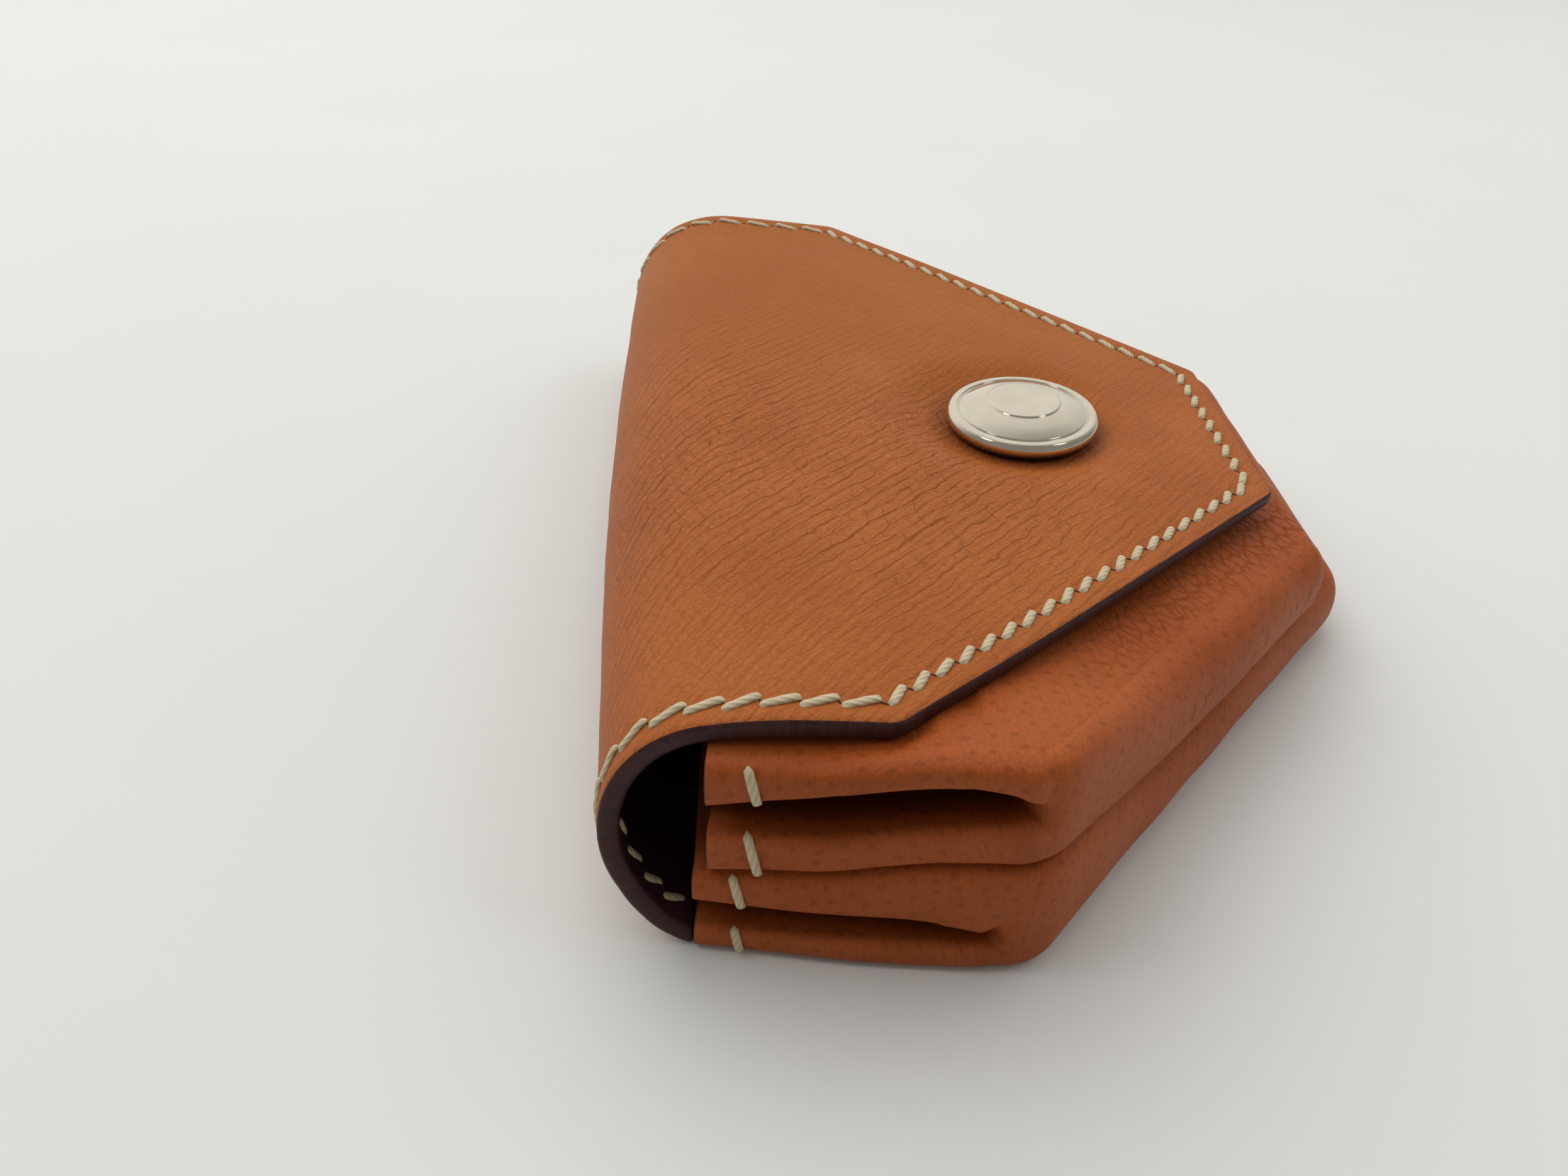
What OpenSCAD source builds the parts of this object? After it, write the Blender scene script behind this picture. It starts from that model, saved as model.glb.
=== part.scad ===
// Folding leather coin purse: two bellows pouches stacked one on the other, wrapped by a lined shell
// whose pointed flap closes over them with a press stud.
// Frame: +X along the spine, the front of the flap towards -Y, +Z up, resting on z = 0.
// Inside the modules, "forward" (local +Y) runs from the mouths of the pouches to the front.

/* [Pouches] */
// Width across the mouths
mouth_w = 108.4; // [98:0.2:118]
// Width across the side corners, the widest place
corner_w = 113.8; // [110:0.2:122]
// Distance from the mouth line forward to the side corners
corner_d = 28; // [22:0.5:34]
// Distance from the mouth line to the front of the lower pouch
lower_front_d = 69; // [66:0.5:74]
// Width of the straight front of the lower pouch
lower_front_w = 25; // [16:1:34]
// How far the lower mouth lies forward of the mouth line
lower_mouth_d = 0.5; // [0.4:0.1:1.2]
// Distance from the mouth line to the front of the upper pouch
upper_front_d = 62.7; // [60:0.1:66]
// Width of the straight front of the upper pouch
upper_front_w = 38.6; // [30:0.2:44]
// How far the upper mouth lies forward of the mouth line
upper_mouth_d = 1.7; // [1.2:0.1:3]
// How far the upper side corners lie inside the lower ones
upper_corner_inset = 0.6; // [0:0.1:2]
// Thickness of the lower pouch at its mouth
lower_h = 8.85; // [8:0.05:11]
// Thickness of the upper pouch at its mouth
upper_h = 11.35; // [10:0.05:14]
// Gap between the leather of the two pouches
pouch_gap = 0.3; // [0.2:0.05:0.5]
// Fall of the divider between the pouches towards the front, in degrees
divider_tilt = 0.8; // [0.4:0.1:1.6]
// Thickness of the pouch leather with its lining
pouch_leather = 1.2; // [0.9:0.05:1.3]
// Corner radius of the flat pouch panels
panel_corner_r = 1.5; // [0.8:0.1:3]

/* [Gussets] */
// How far the side pleats reach inwards at the mouth
pleat_depth = 12; // [8:0.5:16]
// Free width between the side pleats and the pieces that lie between them
row_clear = 1; // [0.6:0.1:1.6]
// Open height of the upper pleat
upper_pleat_gap = 2.1; // [1.6:0.1:2.6]
// Open height of the lower pleat
lower_pleat_gap = 2.5; // [1.8:0.1:2.8]
// Share of the upper pouch's remaining height that lies above its pleat
upper_pleat_share = 0.42; // [0.38:0.01:0.55]
// Share of the lower pouch's remaining height that lies above its pleat
lower_pleat_share = 0.49; // [0.45:0.01:0.55]

/* [Shell] */
// Thickness of the outer leather of the flap and spine
shell_leather = 0.9; // [0.7:0.05:1.2]
// Thickness of the lining of the flap and spine
shell_lining = 0.8; // [0.6:0.05:1]
// How far the spine stands behind the mouth line
spine_back = 9.6; // [8.6:0.2:10.4]
// Height between the top of the closed pouches and the shell at the mouth
flap_clear = 0.95; // [0.7:0.05:1.4]
// How far the spine's circle would dip below the table, where the shell ends
spine_dip = 0.35; // [0.2:0.05:0.5]
// Forward reach of the lining lip over the bottom of the lower pouch
lip_d = 6; // [5:0.25:9]

/* [Flap] */
// Width of the flap and spine
flap_w = 103.6; // [96:0.2:108]
// Distance from the mouth line to the flap's side corners
flap_corner_d = 15.8; // [11:0.1:18]
// Distance from the mouth line to the flap's front edge
flap_front_d = 57.6; // [54:0.1:61]
// Width of the flap's front edge
flap_front_w = 27; // [20:0.5:36]
// Radius of the flap's corners
flap_corner_r = 2.5; // [1:0.1:4]
// Fall of the flap towards its front, in degrees
flap_tilt = 4.8; // [3.5:0.1:6]

/* [Flap hinge] */
// Angle round the spine where the shell starts to fold, from straight down, in degrees
fold_start_angle = 50; // [44:1:56]
// Angle round the spine where the flap starts, in degrees
fold_end_angle = 130; // [124:1:136]
// Width of the relief between folding leather pieces
seam_gap = 0.2; // [0.1:0.05:0.3]

/* [Stitching] */
// Distance from one stitch to the next
stitch_pitch = 2.74; // [2.2:0.02:3.4]
// Visible length of one stitch
stitch_len = 2.1; // [1.5:0.05:2.15]
// Width of the thread
thread_w = 0.7; // [0.4:0.05:0.9]
// How far the thread stands out of the leather
thread_h = 0.35; // [0.2:0.05:0.45]
// Slant of each stitch to its row, in degrees
stitch_slant = 10; // [0:1:18]
// Distance of the shell's stitch row from its edge
edge_inset = 2.4; // [1.8:0.1:3.6]
// Distance of the mouth stitch rows from the mouths
mouth_inset = 3.5; // [2.6:0.1:4.4]

/* [Press stud] */
// Distance from the mouth line to the press stud
snap_d = 33.7; // [30:0.1:37]
// Sideways place of the press stud
snap_x = -1.5; // [-3:0.1:3]
// How far the stud pulls the flap in round the cap
dish = 0.5; // [0.2:0.05:0.8]
// Width of the slope round that hollow
dish_slope = 5; // [3:0.5:8]
// Diameter of the cap
cap_d = 16.4; // [13:0.1:19]
// Height of the cap above the leather
cap_h = 2.2; // [1.8:0.1:2.8]
// Depth of the ring grooves in the cap
groove = 0.22; // [0.1:0.02:0.3]
// Diameter of the ring groove round the cap's centre
inner_ring_d = 8.2; // [7:0.1:10]
// Width of the cap's rounded rim outside its outer groove
rim_w = 0.85; // [0.6:0.05:1.2]
// Height of the shoulder of the cap's rim
rim_h = 1.5; // [1.2:0.05:1.7]
// Rounding of the cap's rim
rim_round = 0.28; // [0.2:0.02:0.4]
// Fall of the cap's face from its inner groove to its outer groove
cap_fall = 0.25; // [0.15:0.01:0.3]
// Height of the hollow inside the cap above the leather
bore_top = 0.6; // [0.4:0.05:0.9]
// Inner radius of the cap's hollow post
post_bore_r = 2.4; // [2.3:0.02:2.6]
// Wall of the cap's hollow post
post_wall = 0.6; // [0.4:0.05:0.8]
// Radius of the flange on the socket
socket_flange_r = 5.2; // [4.9:0.1:6]
// Wall of the socket round the post
socket_wall = 1.2; // [0.9:0.05:1.5]
// Thickness of the socket's lip
lip_t = 0.15; // [0.1:0.01:0.2]
// Clearance between the closed socket and the stud's flange
stud_clear = 0.2; // [0.1:0.02:0.3]
// Height of the gap between the flap and the upper pouch at the press stud, where the flap is pulled in
snap_gap = 0.75; // [0.7:0.05:1.2]
// Radius of the stud's neck
neck_r = 1.35; // [1.2:0.05:1.45]
// Radius of the stud's head
head_r = 1.75; // [1.6:0.05:1.85]
// Height of the stud's head
head_h = 1; // [0.8:0.05:1.1]
// Height of the slope under the stud's head
head_slope = 0.15; // [0.1:0.01:0.2]
// Height of the straight band of the stud's head
head_band = 0.3; // [0.2:0.02:0.4]
// Radius of the flat top of the stud's head
crown_r = 1.05; // [0.9:0.05:1.3]
// Radius of the stud's flange
stud_flange_r = 4.2; // [3.4:0.1:5]
// Thickness of the flanges of the press stud
flange_t = 0.3; // [0.25:0.01:0.35]
// Radius of the spring wire
wire_r = 0.16; // [0.12:0.01:0.18]
// Radius of the rivet's shank
shank_r = 0.8; // [0.6:0.05:0.9]
// Radius of the rivet's head
rivet_head_r = 4; // [3:0.1:5]
// Thickness of the rivet's head
rivet_head_t = 0.5; // [0.4:0.05:0.8]
// Depth of the stud's hollow for the rivet's shank
shank_len = 1.1; // [0.9:0.05:1.3]
// Radial clearance between the fitted metal pieces
metal_clear = 0.05; // [0.03:0.01:0.08]

/* [Hidden] */
$fn = 48;
leather_color = [0.68, 0.38, 0.2];
lining_color = [0.2, 0.07, 0.09];
thread_color = [0.9, 0.85, 0.74];
metal_color = [0.82, 0.82, 0.8];

// The shell: its thickness and the circle of the spine
shell_t = shell_leather + shell_lining;
stack_top = lower_h + pouch_gap + upper_h;
spine_r = (stack_top + flap_clear + shell_t + spine_dip) / 2;
spine_z = spine_r - spine_dip;
spine_d = spine_r - spine_back;
table_angle = acos(spine_z / spine_r);
first_stitch_angle = acos(spine_z / (spine_r + thread_h));
// The place of the mouth line in the part's own frame, which has its origin under the middle
mouth_y = (lower_front_d - spine_back - thread_h) / 2;

// The line where the curl of the flap turns into its flat part
flap_root_d = spine_d + spine_r * sin(flap_tilt);
flap_root_z = spine_z + spine_r * cos(flap_tilt);
function flap_z(d) = flap_root_z - (d - flap_root_d) * tan(flap_tilt);
function flap_under_z(d) = flap_z(d) - shell_t / cos(flap_tilt);

// The planes of the pouch panels, as height over the distance from the mouth line
top_tilt = atan((stack_top - flap_under_z(snap_d) + dish + snap_gap) / (snap_d - upper_mouth_d));
function divider_z(d) = lower_h - d * tan(divider_tilt);
function top_z(d) = stack_top - (d - upper_mouth_d) * tan(top_tilt);

// The press stud along its axis, as depth below the outer face of the flap
post_r = post_bore_r + post_wall;
socket_r = post_r + metal_clear + socket_wall;
panel_depth = shell_t + snap_gap * cos(flap_tilt);
socket_end = panel_depth - flange_t - stud_clear;
spring_room = 2 * wire_r + 2 * metal_clear;
post_end = socket_end - lip_t - spring_room;
spring_depth = post_end + spring_room / 2;
head_drop = wire_r + 2 * metal_clear;
// The stud stands on the upper pouch where its axis meets the socket's axis at the spring
stud_d = snap_d - spring_depth * sin(flap_tilt) - (panel_depth - spring_depth) * sin(top_tilt);
spring_half = neck_r + wire_r + 2 * metal_clear;
spring_end = post_r - wire_r - metal_clear - spring_half;

// Points and steps of the swept leather
arc_steps = 8;
corner_steps = 4;
pleat_close = 0.6;
pleat_closing_steps = 6;
pleat_stations = concat(
    [0],
    [for (i = [0:pleat_closing_steps]) lerp(pleat_close, 1, i / pleat_closing_steps)]
);
pleat_span_angle = 12;

function unit(v) = v / norm(v);
function left_of(v) = [-v[1], v[0]];
function lerp(a, b, t) = a + (b - a) * t;
function smooth(t) = t * t * (3 - 2 * t);
function clamp01(t) = min(1, max(0, t));
function along(a) = [cos(a), sin(a)];
function cross2(a, b) = a[0] * b[1] - a[1] * b[0];
function line_cross(p, u, q, v) = p + u * cross2(q - p, v) / cross2(u, v);
function heading(v) = atan2(v[1], v[0]);
function flip_x(points) = [for (i = [len(points) - 1:-1:0]) [-points[i][0], points[i][1]]];

// A pouch is [mouth corner, side corner, front corner, is it the upper one]
lower = [[mouth_w / 2, lower_mouth_d], [corner_w / 2, corner_d], [lower_front_w / 2, lower_front_d], false];
upper = [
    [mouth_w / 2, upper_mouth_d],
    [corner_w / 2 - upper_corner_inset, corner_d - upper_corner_inset],
    [upper_front_w / 2, upper_front_d],
    true
];
function ceil_z(p, d) = p[3] ? top_z(d) : divider_z(d);
function floor_z(p, d) = p[3] ? divider_z(d) + pouch_gap : 0;
function height(p, d) = ceil_z(p, d) - floor_z(p, d);
function side_dir(p) = unit(p[1] - p[0]);
function diag_dir(p) = unit(p[2] - p[1]);
// Half the thickness of the pouch at its side corner and at its front
function side_r(p) = height(p, p[1][1]) / 2;
function front_r(p) = height(p, p[2][1]) / 2;
// Centres of the two rounded corners of the outline
function side_centre(p) =
    let (o = side_r(p) + panel_corner_r)
    line_cross(p[0] + left_of(side_dir(p)) * o, side_dir(p), p[1] + left_of(diag_dir(p)) * o, diag_dir(p));
function front_centre(p) =
    let (o = front_r(p) + panel_corner_r)
    line_cross(p[1] + left_of(diag_dir(p)) * o, diag_dir(p), p[2] - [0, o], [1, 0]);
// Stations of the rounded fold on one half: [centre, outward direction, fold radius]
function fold_half(p) =
    let (a0 = heading(-left_of(side_dir(p))), a1 = heading(-left_of(diag_dir(p))))
    concat(
        [for (i = [0:corner_steps])
            [side_centre(p), along(lerp(a0, a1, i / corner_steps)), side_r(p)]],
        [for (i = [0:corner_steps])
            [front_centre(p), along(lerp(a1, 90, i / corner_steps)), front_r(p)]]
    );
function flip_station(s) = [[-s[0][0], s[0][1]], [-s[1][0], s[1][1]], s[2]];
function fold_stations(p) =
    let (half = fold_half(p))
    concat(half, [for (i = [len(half) - 1:-1:0]) flip_station(half[i])]);

// One ring of points of the half-round fold, at a depth of t under its outer face
function fold_ring(p, s, t) =
    let (root = s[0] + s[1] * panel_corner_r)
    let (top = ceil_z(p, root[1]), bottom = floor_z(p, root[1]))
    [for (k = [0:arc_steps])
        let (a = 90 - 180 * k / arc_steps, at = root + s[1] * (s[2] - t) * cos(a))
        [at[0], at[1], (top + bottom) / 2 + ((top - bottom) / 2 - t) * sin(a)]];

// The side pleat, worked from the mouth (t = 0) to the side corner (t = 1)
function side_end(p) = side_centre(p) - left_of(side_dir(p)) * (side_r(p) + panel_corner_r);
function side_at(p, t) = lerp(p[0], side_end(p), t);
function closing(t) = smooth(clamp01((t - pleat_close) / (1 - pleat_close)));
function pleat_gap(p) = p[3] ? upper_pleat_gap : lower_pleat_gap;
function pleat_share(p) = p[3] ? upper_pleat_share : lower_pleat_share;
function above_h(p, t) = (height(p, side_at(p, t)[1]) - pleat_gap(p)) * pleat_share(p);
function below_h(p, t) = (height(p, side_at(p, t)[1]) - pleat_gap(p)) * (1 - pleat_share(p));
// Points of the pleated section, as [distance inwards, height], e below the outer face
function pleat_section(p, t, e) =
    let (d = side_at(p, t)[1], top = ceil_z(p, d), bottom = floor_z(p, d))
    let (ra = above_h(p, t) / 2, rb = below_h(p, t) / 2, rg = pleat_gap(p) / 2)
    let (mid = (top - 2 * ra + bottom + 2 * rb) / 2)
    concat(
        [for (k = [0:arc_steps])
            let (a = 90 - 180 * k / arc_steps)
            [ra - (ra - e) * cos(a), top - ra + (ra - e) * sin(a)]],
        [for (k = [0:arc_steps])
            let (a = 90 - 180 * k / arc_steps)
            [pleat_depth + (rg + e) * cos(a), mid + (rg + e) * sin(a)]],
        [for (k = [0:arc_steps])
            let (a = 90 - 180 * k / arc_steps)
            [rb - (rb - e) * cos(a), bottom + rb + (rb - e) * sin(a)]]
    );
// Points of the plain half-round section that the pleat turns into, in the same number: the leather
// above the pleat, the pleat itself and the leather below it take these bounds round the half circle
round_bounds = [90, pleat_span_angle, -pleat_span_angle, -90];
function round_section(p, t, e) =
    let (d = side_at(p, t)[1], top = ceil_z(p, d), bottom = floor_z(p, d))
    [for (part = [0:2], k = [0:arc_steps])
        let (a = lerp(round_bounds[part], round_bounds[part + 1], k / arc_steps))
        [side_r(p) - (side_r(p) - e) * cos(a), (top + bottom) / 2 + ((top - bottom) / 2 - e) * sin(a)]];
function pleat_ring(p, t, e) =
    let (a = pleat_section(p, t, e), b = round_section(p, t, e), w = closing(t))
    let (inward = left_of(side_dir(p)))
    let (shift = side_dir(p) * (t == 1 ? -seam_gap : 0), base = side_at(p, t) + shift)
    [for (k = [0:len(a) - 1])
        let (q = lerp(a[k], b[k], w), at = base + inward * q[0])
        [at[0], at[1], q[1]]];

// Half the width that the pleats leave free between them inside the pouches
inner_reach = mouth_w / 2 - pleat_depth - lower_pleat_gap / 2 - pouch_leather - row_clear;

// Outline of a flat panel: along the side, round the two corners, and back on the other half
function panel_half(p, is_top) =
    let (inward = left_of(side_dir(p)))
    concat(
        [for (t = pleat_stations)
            let (r = lerp((is_top ? above_h(p, t) : below_h(p, t)) / 2, side_r(p), closing(t)))
            side_at(p, t) + inward * (r + seam_gap)],
        [for (s = fold_half(p)) s[0] + s[1] * (panel_corner_r - seam_gap)]
    );
function panel_outline(p, is_top) = let (half = panel_half(p, is_top)) concat(half, flip_x(half));

// Moves what is drawn from the mouth line into the part's own frame
module place() {
    translate([0, mouth_y, 0])
        mirror([0, 1, 0])
            children();
}

// A leather wall between an outer and an inner set of rings, closed at both ends
module wall(outer, inner) {
    rings = len(outer);
    n = len(outer[0]);
    points = [for (s = [0:rings - 1]) each concat(outer[s], inner[s])];
    function o(s, k) = s * 2 * n + k;
    function i(s, k) = s * 2 * n + n + k;
    function quad(a, b, c, d) = [[a, b, c], [a, c, d]];
    skin = [for (s = [0:rings - 2], k = [0:n - 2]) each concat(
        quad(o(s, k), o(s + 1, k), o(s + 1, k + 1), o(s, k + 1)),
        quad(i(s, k), i(s, k + 1), i(s + 1, k + 1), i(s + 1, k)))];
    edges = [for (s = [0:rings - 2]) each concat(
        quad(o(s, 0), i(s, 0), i(s + 1, 0), o(s + 1, 0)),
        quad(o(s, n - 1), o(s + 1, n - 1), i(s + 1, n - 1), i(s, n - 1)))];
    last = rings - 1;
    ends = [for (k = [0:n - 2]) each concat(
        quad(o(0, k), o(0, k + 1), i(0, k + 1), i(0, k)),
        quad(o(last, k), i(last, k), i(last, k + 1), o(last, k + 1)))];
    polyhedron(points, concat(skin, edges, ends));
}

// A flat panel whose upper face falls forward from height z at distance d
module sloped_plate(points, d, z, tilt, drop, t) {
    translate([0, d, z])
        rotate([-tilt, 0, 0])
            translate([0, 0, -drop - t])
                linear_extrude(t)
                    polygon([for (q = points) [q[0], (q[1] - d) / cos(tilt)]]);
}

module pouch_fold(p) {
    stations = fold_stations(p);
    outer = [for (s = stations) fold_ring(p, s, 0)];
    inner = [for (s = stations) fold_ring(p, s, pouch_leather)];
    color(leather_color)
        place()
            wall(outer, inner);
}

module pouch_gusset(p, side) {
    outer = [for (t = pleat_stations) pleat_ring(p, t, 0)];
    inner = [for (t = pleat_stations) pleat_ring(p, t, pouch_leather)];
    color(leather_color)
        place()
            mirror([side < 0 ? 1 : 0, 0, 0])
                wall(outer, inner);
}

module lower_bottom_panel() {
    color(leather_color)
        place()
            linear_extrude(pouch_leather)
                polygon(panel_outline(lower, false));
}

module lower_fold() {
    pouch_fold(lower);
}

module lower_gusset_left() {
    pouch_gusset(lower, -1);
}

module lower_gusset_right() {
    pouch_gusset(lower, 1);
}

module lower_top_panel() {
    color(leather_color)
        place()
            sloped_plate(panel_outline(lower, true), 0, lower_h, divider_tilt, 0, pouch_leather);
}

module upper_bottom_panel() {
    outline = panel_outline(upper, false);
    color(leather_color)
        place()
            sloped_plate(outline, 0, lower_h + pouch_gap, divider_tilt, -pouch_leather, pouch_leather);
}

module upper_fold() {
    pouch_fold(upper);
}

module upper_gusset_left() {
    pouch_gusset(upper, -1);
}

module upper_gusset_right() {
    pouch_gusset(upper, 1);
}

module upper_top_panel() {
    outline = panel_outline(upper, true);
    color(leather_color)
        place()
            difference() {
                sloped_plate(outline, upper_mouth_d, stack_top, top_tilt, 0, pouch_leather);
                on_stud()
                    cylinder(h = 4 * pouch_leather, r = shank_r + metal_clear, center = true);
            }
}

// Stands children on the upper pouch, on its normal, at distance d
module on_top_panel(d) {
    translate([0, d, top_z(d)])
        rotate([-top_tilt, 0, 0])
            children();
}

// Stands children on the upper pouch at the stud
module on_stud() {
    translate([snap_x, 0, 0])
        on_top_panel(stud_d)
            children();
}

// Stands children on the flap's outer face, on its normal, at distance d
module on_flap(d) {
    translate([0, d, flap_z(d)])
        rotate([-flap_tilt, 0, 0])
            children();
}

// Stands children on the flap's outer face at the cap
module on_snap() {
    translate([snap_x, 0, -dish / cos(flap_tilt)])
        on_flap(snap_d)
            children();
}

// A ring sector between two angles from straight down, seen from the side
module ring_sector(r_out, r_in, from, to) {
    reach = 2 * r_out;
    mid = (from + to) / 2;
    rays = [for (a = [from, mid, to]) [-reach * sin(a), -reach * cos(a)]];
    intersection() {
        difference() {
            circle(r_out);
            circle(r_in);
        }
        polygon(concat([[0, 0]], rays));
    }
}

// A ring sector round the spine, seen from the side
module spine_sector(r_out, r_in, from, to) {
    translate([spine_d, spine_z])
        ring_sector(r_out, r_in, from, to);
}

// Draws a side view across the width of the shell
module across(w) {
    translate([-w / 2, 0, 0])
        rotate([90, 0, 90])
            linear_extrude(w)
                children();
}

// Half the relief at a fold, as an angle round the spine
relief = asin(seam_gap / 2 / spine_r);

// One layer of the back, seen from the side
module back_layer(r_out, r_in) {
    spine_sector(r_out, r_in, table_angle, fold_start_angle - relief);
}

module back_leather() {
    color(leather_color)
        place()
            across(flap_w)
                back_layer(spine_r, spine_r - shell_leather);
}

module back_lining() {
    inner_r = spine_r - shell_t;
    lip_start = spine_d - (spine_r - shell_leather) * sin(table_angle);
    color(lining_color)
        place() {
            across(flap_w)
                back_layer(spine_r - shell_leather, inner_r);
            across(2 * inner_reach)
                translate([lip_start, pouch_leather])
                    square([lip_d - lip_start, shell_lining]);
        }
}

// One layer of the folding middle of the spine, seen from the side
module middle_layer(r_out, r_in) {
    spine_sector(r_out, r_in, fold_start_angle + relief, fold_end_angle - relief);
}

module spine_leather() {
    color(leather_color)
        place()
            across(flap_w)
                middle_layer(spine_r, spine_r - shell_leather);
}

module spine_lining() {
    color(lining_color)
        place()
            across(flap_w)
                middle_layer(spine_r - shell_leather, spine_r - shell_t);
}

// One layer of the flap, seen from the side: its curl round the spine and its flat part
module flap_layer(r_out, r_in) {
    translate([spine_d, spine_z])
        rotate(-flap_tilt) {
            ring_sector(r_out, r_in, fold_end_angle + relief - flap_tilt, 180);
            translate([0, r_in])
                square([flap_front_d, r_out - r_in]);
        }
}

flap_corners = [
    [flap_w / 2, -2 * spine_back],
    [flap_w / 2, flap_corner_d],
    [flap_front_w / 2, flap_front_d]
];

// One layer of the flap, cut to its outline, with the hollow round the cap and a hole in its middle
module flap_sheet(r_out, r_in, hole_r) {
    upper_depth = spine_r - r_out;
    lower_depth = spine_r - r_in;
    hollow_r = cap_d / 2 + rim_w;
    hollow = [
        [hole_r, -upper_depth],
        [hollow_r, -upper_depth],
        [hollow_r + dish_slope, dish - upper_depth],
        [hollow_r + dish_slope, dish - lower_depth],
        [hollow_r, -lower_depth],
        [hole_r, -lower_depth]
    ];
    difference() {
        intersection() {
            across(2 * flap_w)
                flap_layer(r_out, r_in);
            linear_extrude(2 * stack_top)
                offset(r = flap_corner_r)
                    offset(delta = -flap_corner_r)
                        polygon(concat(flap_corners, flip_x(flap_corners)));
        }
        on_snap()
            cylinder(h = 4 * shell_t, r = hollow_r + dish_slope, center = true);
    }
    on_snap()
        rotate_extrude()
            polygon(hollow);
}

module flap_leather() {
    color(leather_color)
        place()
            flap_sheet(spine_r, spine_r - shell_leather, post_r + metal_clear);
}

module flap_lining() {
    color(lining_color)
        place()
            flap_sheet(spine_r - shell_leather, spine_r - shell_t, socket_flange_r + metal_clear);
}

// One stitch, lying on z = 0 along the row
module stitch() {
    rotate([0, 0, stitch_slant])
        translate([-stitch_len / 2, -thread_w / 2, 0])
            cube([stitch_len, thread_w, thread_h]);
}

// A row of whole stitches from a to b on the plane z = 0
module stitch_row(a, b) {
    count = floor(norm(b - a) / stitch_pitch);
    for (i = [0:count - 1])
        translate(concat(lerp(a, b, (i + 0.5) / count), 0))
            rotate([0, 0, heading(b - a)])
                stitch();
}

// Stitches round the spine between two angles, on both ends of the shell
module spine_row(from, to) {
    count = floor((to - from) * PI / 180 * spine_r / stitch_pitch);
    for (side = [-1, 1], i = [0:count - 1])
        translate([side * (flap_w / 2 - edge_inset), spine_d, spine_z])
            rotate([180 - lerp(from, to, (i + 0.5) / count), 0, 0])
                translate([0, 0, spine_r])
                    rotate([0, 0, 90])
                        stitch();
}

module back_stitching() {
    color(thread_color)
        place()
            spine_row(first_stitch_angle, fold_start_angle);
}

module spine_stitching() {
    color(thread_color)
        place()
            spine_row(fold_start_angle, fold_end_angle);
}

module flap_stitching() {
    side = flap_w / 2 - edge_inset;
    slope = unit(flap_corners[2] - flap_corners[1]);
    inner = flap_corners[1] + left_of(slope) * edge_inset;
    side_corner = line_cross([side, 0], [0, 1], inner, slope);
    front_corner = line_cross(inner, slope, [0, flap_front_d - edge_inset], [1, 0]);
    root = [side, flap_root_d];
    color(thread_color)
        place() {
            spine_row(fold_end_angle, 180 + flap_tilt);
            on_flap(0)
                for (x = [-1, 1]) {
                    flat = [for (q = [root, side_corner, front_corner]) [x * q[0], q[1] / cos(flap_tilt)]];
                    stitch_row(flat[0], flat[1]);
                    stitch_row(flat[1], flat[2]);
                }
            on_flap(flap_front_d - edge_inset)
                stitch_row([front_corner[0], 0], [-front_corner[0], 0]);
        }
}

// A row of stitches along a mouth
module mouth_row(reach) {
    stitch_row([-reach, 0], [reach, 0]);
}

module lower_mouth_stitching() {
    color(thread_color)
        place()
            translate([0, lower_mouth_d + mouth_inset, pouch_leather + shell_lining])
                mouth_row(inner_reach);
}

module divider_stitching() {
    d = upper_mouth_d + mouth_inset;
    color(thread_color)
        place()
            translate([0, 0, lower_h + pouch_gap])
                rotate([-divider_tilt, 0, 0])
                    translate([0, d / cos(divider_tilt), pouch_leather])
                        mouth_row(inner_reach);
}

module upper_mouth_stitching() {
    color(thread_color)
        place()
            on_top_panel(upper_mouth_d + mouth_inset)
                mouth_row(mouth_w / 2 - above_h(upper, 0));
}

// The cap's rounded disc with two ring grooves, and its hollow post through the flap
module snap_cap() {
    r = cap_d / 2;
    ring_r = inner_ring_d / 2;
    disc_r = r - rim_w;
    profile = [
        [0, cap_h],
        [ring_r - groove, cap_h],
        [ring_r, cap_h - groove],
        [ring_r + groove, cap_h],
        [disc_r - groove, cap_h - cap_fall],
        [disc_r, cap_h - cap_fall - groove],
        [disc_r + groove, cap_h - cap_fall],
        [r - rim_round, rim_h],
        [r, rim_h / 2],
        [r - rim_round, 0],
        [post_r, 0],
        [post_r, -post_end],
        [post_bore_r, -post_end],
        [post_bore_r, bore_top],
        [0, bore_top]
    ];
    color(metal_color)
        place()
            on_snap()
                rotate_extrude()
                    polygon(profile);
}

// The socket pressed on the post, bedded in the lining, with a lip that keeps the spring in
module snap_socket() {
    inner = post_r + metal_clear;
    profile = [
        [inner, -shell_leather],
        [socket_flange_r, -shell_leather],
        [socket_flange_r, -shell_leather - flange_t],
        [socket_r, -shell_leather - flange_t],
        [socket_r, -socket_end],
        [post_bore_r, -socket_end],
        [post_bore_r, -socket_end + lip_t],
        [inner, -socket_end + lip_t]
    ];
    color(metal_color)
        place()
            on_snap()
                rotate_extrude()
                    polygon(profile);
}

// The wire spring in the socket: two bars beside the stud's neck, joined by a bend at one end
module snap_spring() {
    color(metal_color)
        place()
            on_snap()
                translate([0, 0, -spring_depth]) {
                    for (side = [-1, 1])
                        translate([side * spring_half, 0, 0])
                            rotate([90, 0, 0])
                                cylinder(h = 2 * spring_end, r = wire_r, center = true);
                    translate([0, spring_end, 0])
                        rotate_extrude(angle = 180)
                            translate([spring_half, 0])
                                circle(wire_r);
                }
}

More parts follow.
